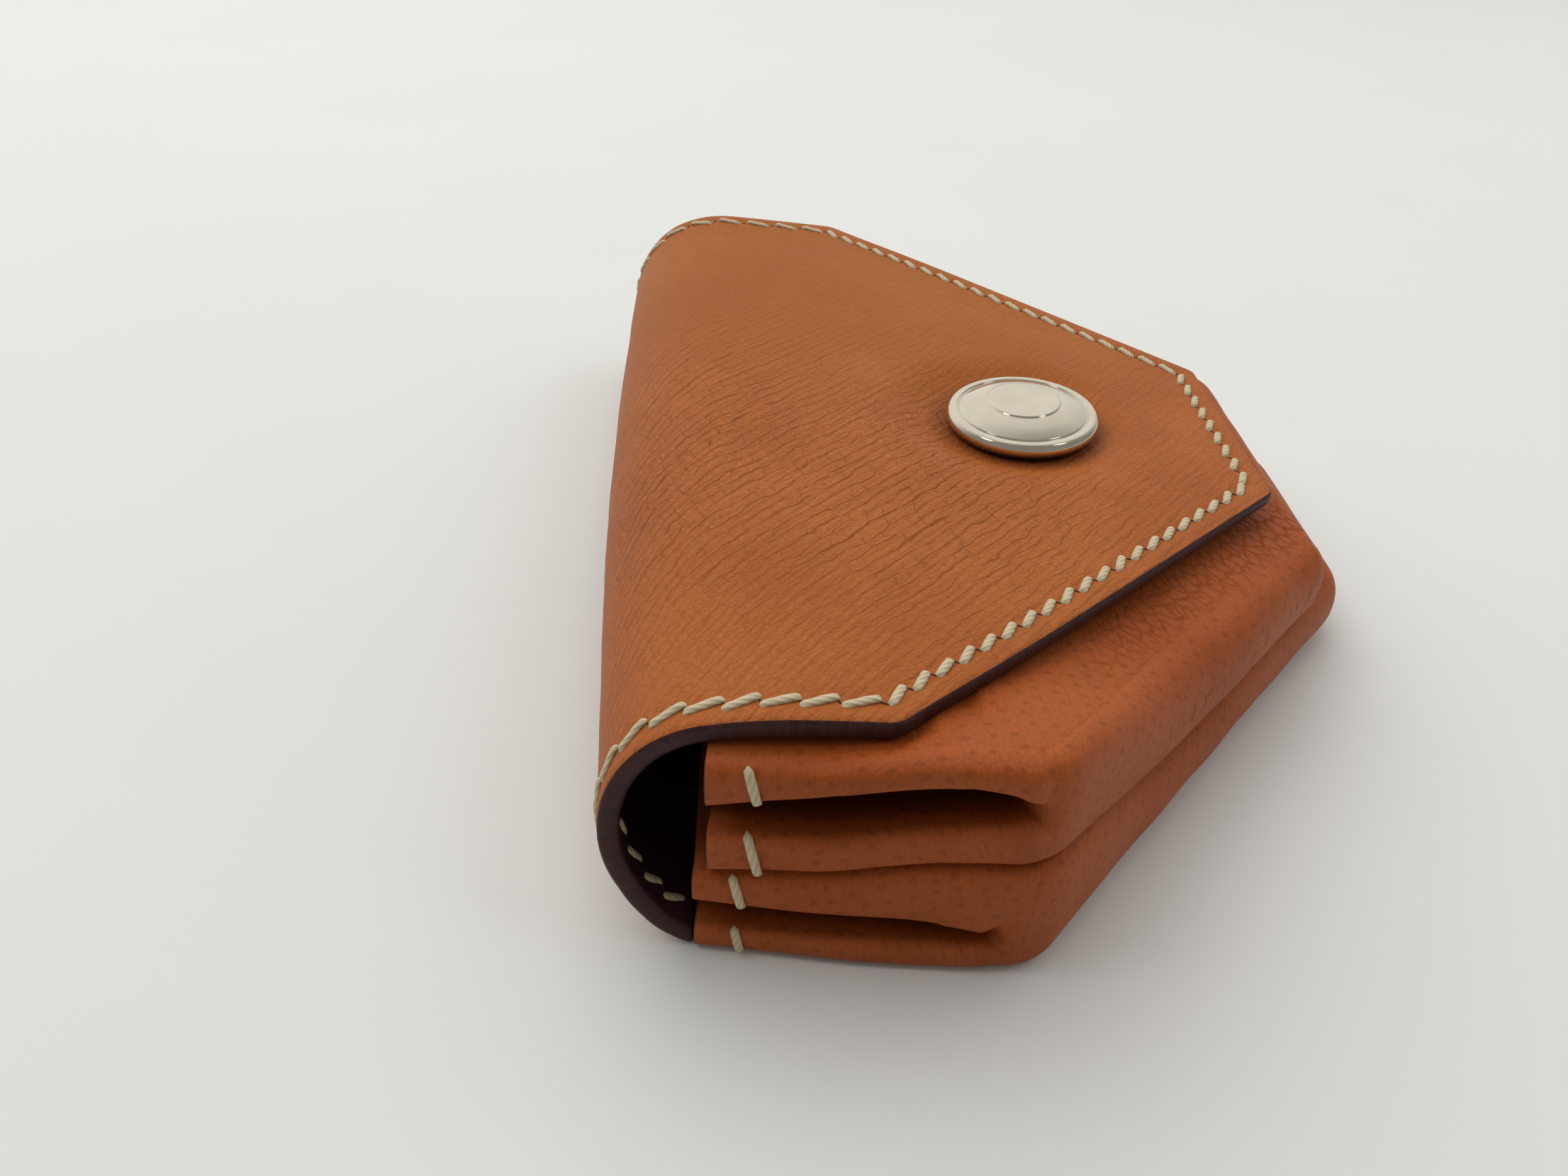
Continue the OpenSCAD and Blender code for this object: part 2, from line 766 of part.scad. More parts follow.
// The stud on the upper pouch: flange, neck and rounded head, hollow for the rivet's shank
module snap_stud() {
    neck_end = panel_depth - spring_depth + head_drop;
    top = neck_end + head_h;
    profile = [
        [shank_r + metal_clear, 0],
        [stud_flange_r, 0],
        [stud_flange_r, flange_t],
        [neck_r, flange_t],
        [neck_r, neck_end],
        [head_r, neck_end + head_slope],
        [head_r, neck_end + head_slope + head_band],
        [crown_r, top],
        [0, top],
        [0, shank_len],
        [shank_r + metal_clear, shank_len]
    ];
    color(metal_color)
        place()
            on_stud()
                rotate_extrude()
                    polygon(profile);
}

// The rivet that holds the stud from inside the upper pouch
module snap_rivet() {
    profile = [
        [0, shank_len - metal_clear],
        [shank_r, shank_len - metal_clear],
        [shank_r, -pouch_leather],
        [rivet_head_r, -pouch_leather],
        [rivet_head_r, -pouch_leather - rivet_head_t],
        [0, -pouch_leather - rivet_head_t]
    ];
    color(metal_color)
        place()
            on_stud()
                rotate_extrude()
                    polygon(profile);
}

lower_bottom_panel();
lower_fold();
lower_gusset_left();
lower_gusset_right();
lower_top_panel();
upper_bottom_panel();
upper_fold();
upper_gusset_left();
upper_gusset_right();
upper_top_panel();
back_leather();
back_lining();
back_stitching();
spine_leather();
spine_lining();
spine_stitching();
flap_leather();
flap_lining();
flap_stitching();
lower_mouth_stitching();
divider_stitching();
upper_mouth_stitching();
snap_cap();
snap_socket();
snap_spring();
snap_stud();
snap_rivet();
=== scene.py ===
import math

import bmesh
import bpy
import numpy as np
from mathutils import Matrix, Vector

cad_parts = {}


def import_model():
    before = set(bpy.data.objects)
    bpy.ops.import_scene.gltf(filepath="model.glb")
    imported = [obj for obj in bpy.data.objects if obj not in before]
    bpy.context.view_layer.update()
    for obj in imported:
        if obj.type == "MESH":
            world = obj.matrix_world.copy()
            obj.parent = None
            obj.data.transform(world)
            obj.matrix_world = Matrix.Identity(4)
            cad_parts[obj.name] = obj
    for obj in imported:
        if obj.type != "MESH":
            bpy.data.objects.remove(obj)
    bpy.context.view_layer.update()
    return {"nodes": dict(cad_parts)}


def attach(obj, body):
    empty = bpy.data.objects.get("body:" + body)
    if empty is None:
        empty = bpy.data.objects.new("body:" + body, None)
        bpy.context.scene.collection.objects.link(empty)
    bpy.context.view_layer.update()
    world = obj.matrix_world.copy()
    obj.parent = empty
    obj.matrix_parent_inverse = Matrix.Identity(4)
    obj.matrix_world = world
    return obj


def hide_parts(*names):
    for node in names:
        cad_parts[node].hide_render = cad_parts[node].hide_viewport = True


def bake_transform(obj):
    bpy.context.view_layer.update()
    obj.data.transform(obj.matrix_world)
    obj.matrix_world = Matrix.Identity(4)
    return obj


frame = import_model()

# Sizes are in millimetres in a local frame: x along the spine, d forward from the mouth line, z up.
MM = 0.001
MOUTH_Y = 29.525
# Millimetres of leather to one unit of a UV map
UV_MM = 100
UP = np.array([0, 0, 1.0])

# The shell: a circle round the spine, then the flat flap
SPINE_D, SPINE_Z, SPINE_R = 2.15, 11.4, 11.75
SHELL_T, FRONT_THIN, EVEN_TOP = 1.7, 0.3, 12
TILT = math.radians(4.8)
TABLE_ANGLE = math.acos(SPINE_Z / SPINE_R)
FLAP_ANGLE = math.pi + TILT
ROOT_D, ROOT_Z = SPINE_D + SPINE_R * math.sin(TILT), SPINE_Z + SPINE_R * math.cos(TILT)
TUCK, FLAP_RUN = 1.0, 58.0
TUCK_STEPS, PROFILE_STEPS = 40, 1400
BACK_HALF = 53.8
FLAP_HALF, FLAP_CORNER_D = 51.8, 15.8
FLAP_FRONT_HALF, FLAP_FRONT_D, FLAP_LAST_D = 13.5, 57.6, 57.4
EDGE_BULGE = 0.28
STITCH_INSET, STITCH_PITCH, SIDE_PITCH = 2.4, 2.65, 3.25
# How far the spine stands back: a constant, a share of x and a share of x squared
SKEW = (-1.05, -0.049, 0.00048)
# The curl sinks at its near end. The flap's side corner rises at the near end and sinks at the far one.
CURL_SINK, CORNER_RISE, CORNER_SINK = 0.55, 0.6, 0.25
# Heights on the shell: slow waves, finer ones, creases, the groove of the stitching and the swell beside it
WAVE, FINE_WAVE, CREASE, GROOVE, SWELL = 0.16, 0.07, 0.05, 0.13, 0.05
SURFACE_STEP = 0.15

# The press stud: its place, the hollow round it, and how the cap lies in the leather
SNAP_X, SNAP_D = -1.5, 33.7
CAP_R, DISH, CAP_SINK, CAP_LEAN = 8.0, 0.75, 0.5, 0.07

# The pouches: mouth, side and front corners, then how the pleat lies on the side. The upper leaf ends at
# "over" and the lower one begins at "under", as shares of the height at distances d. They join at "pocket".
# A leaf is (how far its top and its bottom turn in, share of its height where it stands out most), and so is
# the plain wall, at the side "corner" and further on. "raised" says how far worn corners lift the top and
# the bottom, "puckers" how much the wall puckers, and "crease" where the fold runs out on the plain wall.
POUCH_T, POUCH_THIN, POUCH_BULGE = 1.2, 0.8, 0.12
CORNER_R = 1.5
LOWER = {"a": (54.2, 0.5), "b": (56.9, 28.0), "c": (12.5, 69.0), "upper": False, "pocket": 24.2,
         "over": ((0.5, 0.66), (11.8, 0.556), (19.0, 0.45), (21.5, 0.405), (23.4, 0.36), (24.2, 0.32)),
         "under": ((0.5, 0.29), (11.9, 0.265), (18.0, 0.225), (21.5, 0.235), (23.2, 0.265), (24.2, 0.32)),
         "leaves": ((1.8, 0.8, 0.40), (1.1, 1.5, 0.50)), "corner": (1.8, 1.6, 0.45), "wall": (4.0, 3.4, 0.48),
         "raised": (3.0, 0.0), "puckers": 0.3, "crease": (0.60, 0.69)}
UPPER = {"a": (54.2, 1.7), "b": (56.3, 27.4), "c": (19.3, 62.7), "upper": True, "pocket": 26.4,
         "over": ((1.7, 0.62), (6, 0.70), (11, 0.765), (21, 0.78), (24, 0.73), (25.6, 0.655), (26.4, 0.55)),
         "under": ((1.7, 0.37), (11, 0.32), (17, 0.33), (21, 0.35), (24, 0.40), (25.6, 0.47), (26.4, 0.55)),
         "leaves": ((2.2, 0.8, 0.42), (1.2, 0.9, 0.42)), "corner": (2.3, 1.0, 0.40), "wall": (5.0, 1.7, 0.36),
         "raised": (3.4, 3.2), "puckers": 1.0, "crease": (0.45, 0.53)}
LOWER_H, POUCH_GAP, STACK_TOP = 8.85, 0.3, 20.5
DIVIDER_FALL = math.tan(math.radians(0.8))
TOP_FALL = math.tan(math.radians(5.2))
# Depth of the fold between the leaves, at distances from the pocket
PLEAT = ((-26, 12), (-14, 11.5), (-7, 9.5), (-4, 7.5), (-2, 5.5), (-0.7, 3.6), (0.4, 1.9), (1.6, 0.6))
# The fold hangs below the edges of the leaves, by shares of the gap between them
FOLD_DROP = (0.15, 0.28)
# The plain wall grows rounder over this distance, between these two forms
WALL_RUN, WALL_POWER = 18, (0.6, 0.85)
CORNER_X, CORNER_D, NEAR_PUFF, FAR_PUFF = 55.0, 25.0, 1.0, -0.35
FAR_DROP = 1.5
# Unevenness of the pouches: the swell low on the sides, sway, dents, and pinches at the front corners
BELLY, SWAY, DENT, FINE_DENT, PINCH = 0.5, 0.16, 0.22, 0.08, 0.22
# Under the flap: the height from which leather is pressed down, its clearance, how softly it is pressed, and
# how far the limit rises beyond the flap
PRESS_Z, PRESS_CLEAR, PRESS_SOFT, PRESS_FREE = 13, 0.12, 0.35, 6
MOUTH_INSET = 3.5
INNER_REACH = 38.7
# Numbers of points on a leaf, on the flat beside it, in the fold and on the plain wall
ROLL, FLAT, VALLEY, WALL_STEPS = 12, 6, 12, 240

# Primes that scatter the values of the noise
PRIMES = (374761393, 668265263, 982451653)
SCATTER, BITS = 1274126177, 0x7FFFFFFF


def smooth(t):
    t = np.clip(t, 0, 1)
    return t * t * (3 - 2 * t)


def ramp(v, a, b):
    return smooth((np.asarray(v, float) - a) / (b - a))


def bell(v, centre, width):
    return np.exp(-(((v - centre) / width) ** 2))


def mixed(a, b, t):
    return a * (1 - t) + b * t


def lattice(i, j, seed):
    n = (i * PRIMES[0] + j * PRIMES[1] + seed * PRIMES[2]) & BITS
    n = ((n ^ (n >> 13)) * SCATTER) & BITS
    n = n ^ (n >> 16)
    return (n & 0xFFFF) / 32767.5 - 1


def noise(u, v, seed):
    """Smooth values from -1 to 1 over a plane, the same in each run."""
    u, v = np.asarray(u, float), np.asarray(v, float)
    i, j = np.floor(u).astype(np.int64), np.floor(v).astype(np.int64)
    a, b = smooth(u - i), smooth(v - j)
    low = mixed(lattice(i, j, seed), lattice(i + 1, j, seed), a)
    high = mixed(lattice(i, j + 1, seed), lattice(i + 1, j + 1, seed), a)
    return mixed(low, high, b)


def world(p):
    p = np.asarray(p, float)
    return np.stack([p[..., 0], MOUTH_Y - p[..., 1], p[..., 2]], -1) * MM


def unit(v):
    return v / np.maximum(np.linalg.norm(v, axis=-1, keepdims=True), 1e-12)


def run_length(line):
    """Length along a line of points, up to each of them."""
    return np.concatenate([[0], np.cumsum(np.linalg.norm(np.diff(line, axis=0), axis=1))])


# The shell's surface

def shell_profile():
    """The outer face seen from the side, as (s, d, z) with s the length from its edge on the table."""
    run = np.linspace(0, TUCK, TUCK_STEPS, endpoint=False)
    arc = np.linspace(TABLE_ANGLE, FLAP_ANGLE, PROFILE_STEPS)
    flat = np.linspace(0, FLAP_RUN, PROFILE_STEPS)[1:]
    edge_d = SPINE_D - SPINE_R * math.sin(TABLE_ANGLE) + TUCK
    d = np.concatenate([edge_d - run, SPINE_D - SPINE_R * np.sin(arc), ROOT_D + flat * math.cos(TILT)])
    z = np.concatenate([0 * run, SPINE_Z - SPINE_R * np.cos(arc), ROOT_Z - flat * math.sin(TILT)])
    return run_length(np.stack([d, z], -1)), d, z


PROFILE_S, PROFILE_D, PROFILE_Z = shell_profile()
ARC_S = TUCK + SPINE_R * (FLAP_ANGLE - TABLE_ANGLE)


def arc_s(degrees):
    return TUCK + SPINE_R * (math.radians(degrees) - TABLE_ANGLE)


def flap_s(d):
    return ARC_S + (d - ROOT_D) / math.cos(TILT)


SEAM_S = arc_s(90)
SNAP_S = flap_s(SNAP_D)
# How much of the skew the shell has along its length
LEAN_S = [0, arc_s(16), arc_s(25), arc_s(45), arc_s(62), arc_s(150), arc_s(175), ARC_S, flap_s(12)]
LEAN_W = [0.0, 0.25, 0.5, 0.85, 1.0, 1.0, 0.75, 0.55, 0.0]


def shell_base(s, x):
    """The shell without its small unevenness. The spine stands further back towards its far end."""
    d = np.interp(s, PROFILE_S, PROFILE_D)
    z = np.interp(s, PROFILE_S, PROFILE_Z)
    back = (SKEW[0] + SKEW[1] * x + SKEW[2] * x * x) * np.interp(s, LEAN_S, LEAN_W)
    near, far = ramp(-x, 22, 52), ramp(x, 25, 52)
    on_top = ramp(s, arc_s(110), arc_s(160))
    z = z - CURL_SINK * near * on_top * bell(d, 1.0, 4.0)
    z = z + (CORNER_RISE * near - CORNER_SINK * far) * on_top * bell(d, 16.5, 9)
    return np.stack(np.broadcast_arrays(x, d + back, z), -1)


def outline_points():
    """The shell's edge on its +x half in (x, s), from the table round to the middle of the front."""
    front = flap_s(FLAP_FRONT_D)
    corners = [((BACK_HALF, 0.0), 0), ((BACK_HALF, arc_s(35)), 60), ((FLAP_HALF, arc_s(125)), 60),
               ((FLAP_HALF, flap_s(FLAP_CORNER_D)), 2.2), ((FLAP_FRONT_HALF, front), 2.8), ((0.0, front), 0)]
    points = [np.array(corners[0][0])]
    for k in range(1, len(corners) - 1):
        p, q, r = (np.array(corners[i][0]) for i in (k - 1, k, k + 1))
        radius = corners[k][1]
        u, v = unit(p - q), unit(r - q)
        half = math.acos(float(u @ v)) / 2
        cut = radius / math.tan(half)
        centre = q + unit(u + v) * radius / math.sin(half)
        a, b = q + u * cut - centre, q + v * cut - centre
        points += [centre + unit(mixed(a, b, t)) * radius for t in np.linspace(0, 1, 9)]
    points.append(np.array(corners[-1][0]))
    return np.array(points)


OUTLINE = outline_points()


def half_width(s):
    return np.interp(s, OUTLINE[:, 1], OUTLINE[:, 0])


def beyond_flap(x, d):
    """How far a place lies outside the flap's side edges."""
    return np.abs(x) - half_width(flap_s(np.minimum(d, FLAP_LAST_D)))


def inset_of(s, x):
    """Distance from the shell's edge, on the leather laid flat."""
    p = np.stack(np.broadcast_arrays(np.abs(x), s), -1)
    best = np.full(p.shape[:-1], 1e9)
    for a, b in zip(OUTLINE[:-1], OUTLINE[1:]):
        ab = b - a
        t = np.clip(((p - a) @ ab) / (ab @ ab), 0, 1)
        best = np.minimum(best, np.linalg.norm(p - a - t[..., None] * ab, axis=-1))
    return best


def cap_press(s, x):
    """How far the cap presses into the outer leather alone."""
    r = np.hypot(x - SNAP_X, s - SNAP_S)
    level = CAP_LEAN * (s - SNAP_S) * (1 - ramp(r, CAP_R, 2 * CAP_R))
    return level - CAP_SINK * bell(np.maximum(r, CAP_R), CAP_R, 2.8)


def shell_rise(s, x):
    """Small heights on the shell: the hollow round the cap, the groove of the stitching and slow waves."""
    inset = inset_of(s, x)
    r = np.hypot(x - SNAP_X, s - SNAP_S)
    calm = ramp(inset, 1.0, 9.0) * ramp(r, 9, 16) * ramp(s, 2, 10)
    waves = calm * (WAVE * noise(x / 15, s / 12, 3) + FINE_WAVE * noise(x / 6 + s / 9, s / 6, 4))
    creases = CREASE * bell(x, -14, 17) * bell(s, 27, 9) * noise((x - 0.8 * s) / 1.1, (s + x) / 7, 5)
    groove = SWELL * bell(inset, 1.2, 0.5) - GROOVE * bell(inset, STITCH_INSET, 0.6)
    return cap_press(s, x) - DISH * (1 - ramp(r, 8.4, 15)) + waves + creases + groove


def shell_at(s, x):
    """Place and outward direction on the shell's outer face."""
    s, x = np.broadcast_arrays(np.asarray(s, float), np.asarray(x, float))
    ds = shell_base(s + SURFACE_STEP, x) - shell_base(s - SURFACE_STEP, x)
    dx = shell_base(s, x + SURFACE_STEP) - shell_base(s, x - SURFACE_STEP)
    n = unit(np.cross(dx, ds))
    return shell_base(s, x) + n * shell_rise(s, x)[..., None], n


def shell_thickness(co):
    """The shell is even round the spine, and thinner towards the front and under the cap."""
    if co.z < EVEN_TOP * MM:
        return SHELL_T
    d = MOUTH_Y - co.y / MM
    return SHELL_T - FRONT_THIN * float(ramp(d, 18, 50)) + float(cap_press(flap_s(d), co.x / MM))


# The pouches' surfaces

def floor_z(p, d):
    return LOWER_H + POUCH_GAP - d * DIVIDER_FALL if p["upper"] else 0.0 * d


def ceil_z(p, d):
    return STACK_TOP - (d - UPPER["a"][1]) * TOP_FALL if p["upper"] else LOWER_H - d * DIVIDER_FALL


def left(v):
    return np.array([-v[1], v[0]])


def meet(p, u, q, v):
    w = q - p
    return p + u * (w[0] * v[1] - w[1] * v[0]) / (u[0] * v[1] - u[1] * v[0])


def raised(x, d):
    """How far the side corners stand up: 1 at the near one, and below 0 at the far one, which is sunk."""
    across = bell(np.minimum(np.abs(x), CORNER_X), CORNER_X, 12)
    along = bell(d, CORNER_D, np.where(d < CORNER_D, 14.0, 16.0))
    return across * along * np.where(np.asarray(x) < 0, NEAR_PUFF, FAR_PUFF)


def panel_z(p, top, x, d):
    flat = ceil_z(p, d) if top else floor_z(p, d)
    return flat + p["raised"][0 if top else 1] * raised(x, d)


def far_drop(p, x, d):
    """How far the upper pouch's top sinks at its far end, beyond the flap."""
    drop = FAR_DROP * ramp(beyond_flap(x, d), 1, 9) * (1 - ramp(d, 48, 57))
    return np.where(np.asarray(x) > 0, drop, 0.0) if p["upper"] else 0.0


def roll(top, bottom, q_top, q_bottom, belly, n, power=0.7):
    """A rounded fold seen from its end, from its top to its bottom, as (distance inwards, height)."""
    mid = bottom + belly * (top - bottom)
    a = np.linspace(0, math.pi, n + 1)
    out, up = np.sin(a) ** power, np.sign(np.cos(a)) * np.abs(np.cos(a)) ** power
    high = a <= math.pi / 2 + 1e-9
    inwards = np.where(high, q_top, q_bottom) * (1 - out)
    return np.stack([inwards, mid + np.where(high, top - mid, mid - bottom) * up], -1)


def pleat_section(p, top, bottom, d):
    """The pleated side seen from the mouth. Its leaves fall inwards to the fold between them."""
    over, under = (bottom + (top - bottom) * np.interp(d, *zip(*p[k])) for k in ("over", "under"))
    gap = over - under
    high, low = over - FOLD_DROP[0] * gap, under - FOLD_DROP[1] * gap
    radius = (high - low) / 2
    first = roll(top, over, *p["leaves"][0], ROLL)
    second = roll(under, bottom, *p["leaves"][1], ROLL)
    arc = np.radians(np.linspace(90, -90, VALLEY + 1))
    depth = np.interp(d - p["pocket"], *zip(*PLEAT))
    valley = np.stack([depth + radius * np.cos(arc), (high + low) / 2 + radius * np.sin(arc)], -1)
    t = np.linspace(0, 1, FLAT + 1)[1:-1, None]
    return np.concatenate([first, mixed(first[-1], valley[0], t), valley,
                           mixed(valley[-1], second[0], t), second])


def wall_turn(p, d, turn_in):
    """The plain wall's turns and form, upright at the side corner and rounder further on."""
    w = float(ramp(d, p["pocket"], p["pocket"] + WALL_RUN))
    q_top, q_bottom, belly = mixed(np.array(p["corner"]), np.array(p["wall"]), w)
    return q_top * turn_in, q_bottom * turn_in, belly, mixed(*WALL_POWER, w)


def wall_section(p, top, bottom, turn):
    """The plain rounded wall, in as many points as the pleated side."""
    line = roll(top, bottom, *turn[:3], WALL_STEPS, turn[3])
    length = run_length(line)
    sides = ROLL + FLAT + 1
    start, stop = p["crease"]
    share = np.concatenate([np.linspace(0, start, sides)[:-1], np.linspace(start, stop, VALLEY + 1),
                            np.linspace(stop, 1, sides)[1:]]) * length[-1]
    return np.stack([np.interp(share, length, line[:, k]) for k in (0, 1)], -1)


def pouch_row(p, x_sign, at, inward, turn_in):
    """One row of a wall: (outermost place, inward direction, section, depth in the fold)."""
    d = at[1]
    turn = wall_turn(p, d, turn_in)
    top, bottom = (panel_z(p, up, x_sign * at[0], d + inward[1] * q) for up, q in zip((True, False), turn))
    root = at + inward * turn[0]
    top = top - float(far_drop(p, x_sign * root[0], root[1]))
    plain = wall_section(p, top, bottom, turn)
    w = float(ramp(d, p["pocket"] - 1.4, p["pocket"] + 1.6))
    if w == 1:
        return at, inward, plain, np.zeros(len(plain))
    pleat = pleat_section(p, top, bottom, d)
    index = np.arange(len(pleat))
    fold = np.where((index > ROLL) & (index < len(pleat) - ROLL - 1), pleat[:, 0], 0)
    return at, inward, mixed(pleat, plain, w), fold * (1 - w)


def pouch_stations(p, x_sign):
    """Rows of one half's wall from the mouth to the front, and rows of the front as far as its middle."""
    a, b, c = (np.array(p[k]) for k in "abc")
    side, slope = unit(b - a), unit(c - b)
    side_r, front_r = ((ceil_z(p, q[1]) - floor_z(p, q[1])) / 2 for q in (b, c))
    o = side_r + CORNER_R
    side_c = meet(a + left(side) * o, side, b + left(slope) * o, slope)
    end = side_c - left(side) * o
    o = front_r + CORNER_R
    front_c = meet(b + left(slope) * o, slope, c - np.array([0, o]), np.array([1.0, 0]))
    start, stop = (math.atan2(-left(v)[1], -left(v)[0]) for v in (side, slope))

    def station(centre, angle, r):
        out = np.array([math.cos(angle), math.sin(angle)])
        return pouch_row(p, x_sign, centre + out * (CORNER_R + r), -out, r / side_r)

    along = np.concatenate([np.linspace(0, 0.75, 24)[:-1], np.linspace(0.75, 1, 19)])
    rows = [pouch_row(p, x_sign, a + (end - a) * t, left(side), 1.0) for t in along]
    rows += [station(side_c, start + (stop - start) * t, side_r) for t in np.linspace(0, 1, 25)[1:]]
    rows += [station(mixed(side_c, front_c, t), stop, mixed(side_r, front_r, t))
             for t in np.linspace(0, 1, 48)[1:]]
    front = [station(front_c, stop + (math.pi / 2 - stop) * t, front_r) for t in np.linspace(0, 1, 17)]
    front += [station(np.array([x, front_c[1]]), math.pi / 2, front_r)
              for x in np.linspace(front_c[0], 0, 13)[1:]]
    return rows, front


def wall_points(row, x_sign):
    at, inward, section, _ = row
    q = at[None, :] + inward[None, :] * section[:, :1]
    return np.stack([x_sign * q[:, 0], q[:, 1], section[:, 1]], -1)


def flap_under(x, d):
    """Height of the flap's lower face."""
    return shell_base(flap_s(d), x)[..., 2] - SHELL_T / math.cos(TILT)


def settle(p):
    """Gives the pouches small unevenness and presses them down under the flap."""
    x, d, height = p[..., 0], p[..., 1], p[..., 2]
    ax = np.abs(x)
    x = x + np.sign(x) * BELLY * bell(d, 14, 9) * ramp(ax, 46, 56) * bell(height, 0, 5)
    soft = ramp(height, 0.4, 2.5)
    u = np.arctan2(d - 20, x) * 9
    x = x + soft * SWAY * noise(u, height / 5, 11) * ramp(ax, 8, 20)
    d = d + soft * SWAY * noise(u, height / 5, 12) * ramp(d, 20, 40)
    dents = DENT * noise(x / 9, d / 9, 13) + FINE_DENT * noise(x / 3.7, d / 3.7, 14)
    z = height + soft * dents * ramp(d, 3, 12)
    angle = np.arctan2(d - 55, ax - 13)
    pinch = bell(angle, 1.15, 0.3) * bell(height, 10.6, 1.6) * ramp(d, 56, 60)
    d = d - PINCH * pinch * np.cos(22 * angle)
    free = ramp(beyond_flap(p[..., 0], d), 0.2, 5) + ramp(d, 57, 60)
    limit = flap_under(x, np.clip(d, ROOT_D, 57)) - PRESS_CLEAR + PRESS_FREE * free
    pressed = -PRESS_SOFT * np.logaddexp(-z / PRESS_SOFT, -limit / PRESS_SOFT)
    return np.stack([x, d, np.where(height > PRESS_Z, pressed, z)], -1)


def pouch_thickness(co):
    """The pouches are full leather at their mouths, and thinner further in."""
    return POUCH_T - POUCH_THIN * float(ramp(MOUTH_Y - co.y / MM, 5, 10))


# Meshes

MERGE, DEGENERATE = 2e-6, 1e-7
# Where rows of points lie in a cut edge, as shares of its thickness, and their distance on the map
RIM_STEPS, RIM_UV = (0.12, 0.32, 0.68, 0.88), 0.002


def make_mesh(name, points, uv, faces, slots):
    """A smooth mesh with its places on the leather laid flat and the material slot of each face."""
    mesh = bpy.data.meshes.new(name)
    mesh.from_pydata(world(points).tolist(), [], faces)
    corners = np.array([i for face in faces for i in face])
    layer = mesh.uv_layers.new(name="UVMap")
    layer.data.foreach_set("uv", (uv[corners] / UV_MM).astype(np.float32).ravel())
    mesh.polygons.foreach_set("material_index", np.asarray(slots, np.int32))
    mesh.polygons.foreach_set("use_smooth", np.ones(len(faces), bool))
    return mesh


class Skin:
    """Grids of points that are joined into one surface."""

    def __init__(self):
        self.points, self.faces, self.uv, self.fold, self.pucker = [], [], [], [], []
        self.count = 0

    def grid(self, points, uv, skip=None, fold=None, pucker=None):
        n, m = points.shape[:2]
        index = np.arange(n * m).reshape(n, m) + self.count
        quads = np.stack([index[:-1, :-1], index[:-1, 1:], index[1:, 1:], index[1:, :-1]], -1)
        keep = np.ones(quads.shape[:2], bool) if skip is None else ~skip
        self.points.append(points.reshape(-1, 3))
        self.uv.append(uv.reshape(-1, 2))
        self.fold.append(np.zeros(n * m) if fold is None else fold.ravel())
        self.pucker.append(np.zeros(n * m) if pucker is None else pucker.ravel())
        self.faces.append(quads[keep])
        self.count += n * m

    def mesh(self, name):
        points, uv, faces = (np.concatenate(v) for v in (self.points, self.uv, self.faces))
        mesh = make_mesh(name, points, uv, faces.tolist(), np.zeros(len(faces)))
        for key, values in (("fold", self.fold), ("pucker", self.pucker)):
            layer = mesh.attributes.new(key, "FLOAT", "POINT")
            layer.data.foreach_set("value", np.concatenate(values).astype(np.float32))
        return mesh


def clean(mesh, up=None, merge=True, dissolve=False):
    """Joins points that coincide and turns faces outwards. Up is a place and its outward direction."""
    bm = bmesh.new()
    bm.from_mesh(mesh)
    if merge:
        bmesh.ops.remove_doubles(bm, verts=bm.verts, dist=MERGE)
    if dissolve:
        bmesh.ops.dissolve_degenerate(bm, edges=bm.edges, dist=DEGENERATE)
    bmesh.ops.recalc_face_normals(bm, faces=bm.faces)
    if up is not None:
        place, outward = (Vector(v) for v in up)
        test = min(bm.faces, key=lambda f: (f.calc_center_median() - place).length)
        if test.normal.dot(outward) < 0:
            bmesh.ops.reverse_faces(bm, faces=bm.faces)
    bm.to_mesh(mesh)
    bm.free()
    mesh.update()
    return mesh


def rim_directions(rim):
    """The way out of the surface at each point of its rim."""
    out = {}
    for e in rim:
        face = e.link_faces[0]
        a, b = (v.co for v in e.verts)
        away = (b - a).normalized().cross(face.normal)
        if away.dot((a + b) / 2 - face.calc_center_median()) < 0:
            away = -away
        for v in e.verts:
            out[v] = out.get(v, Vector()) + away
    return out


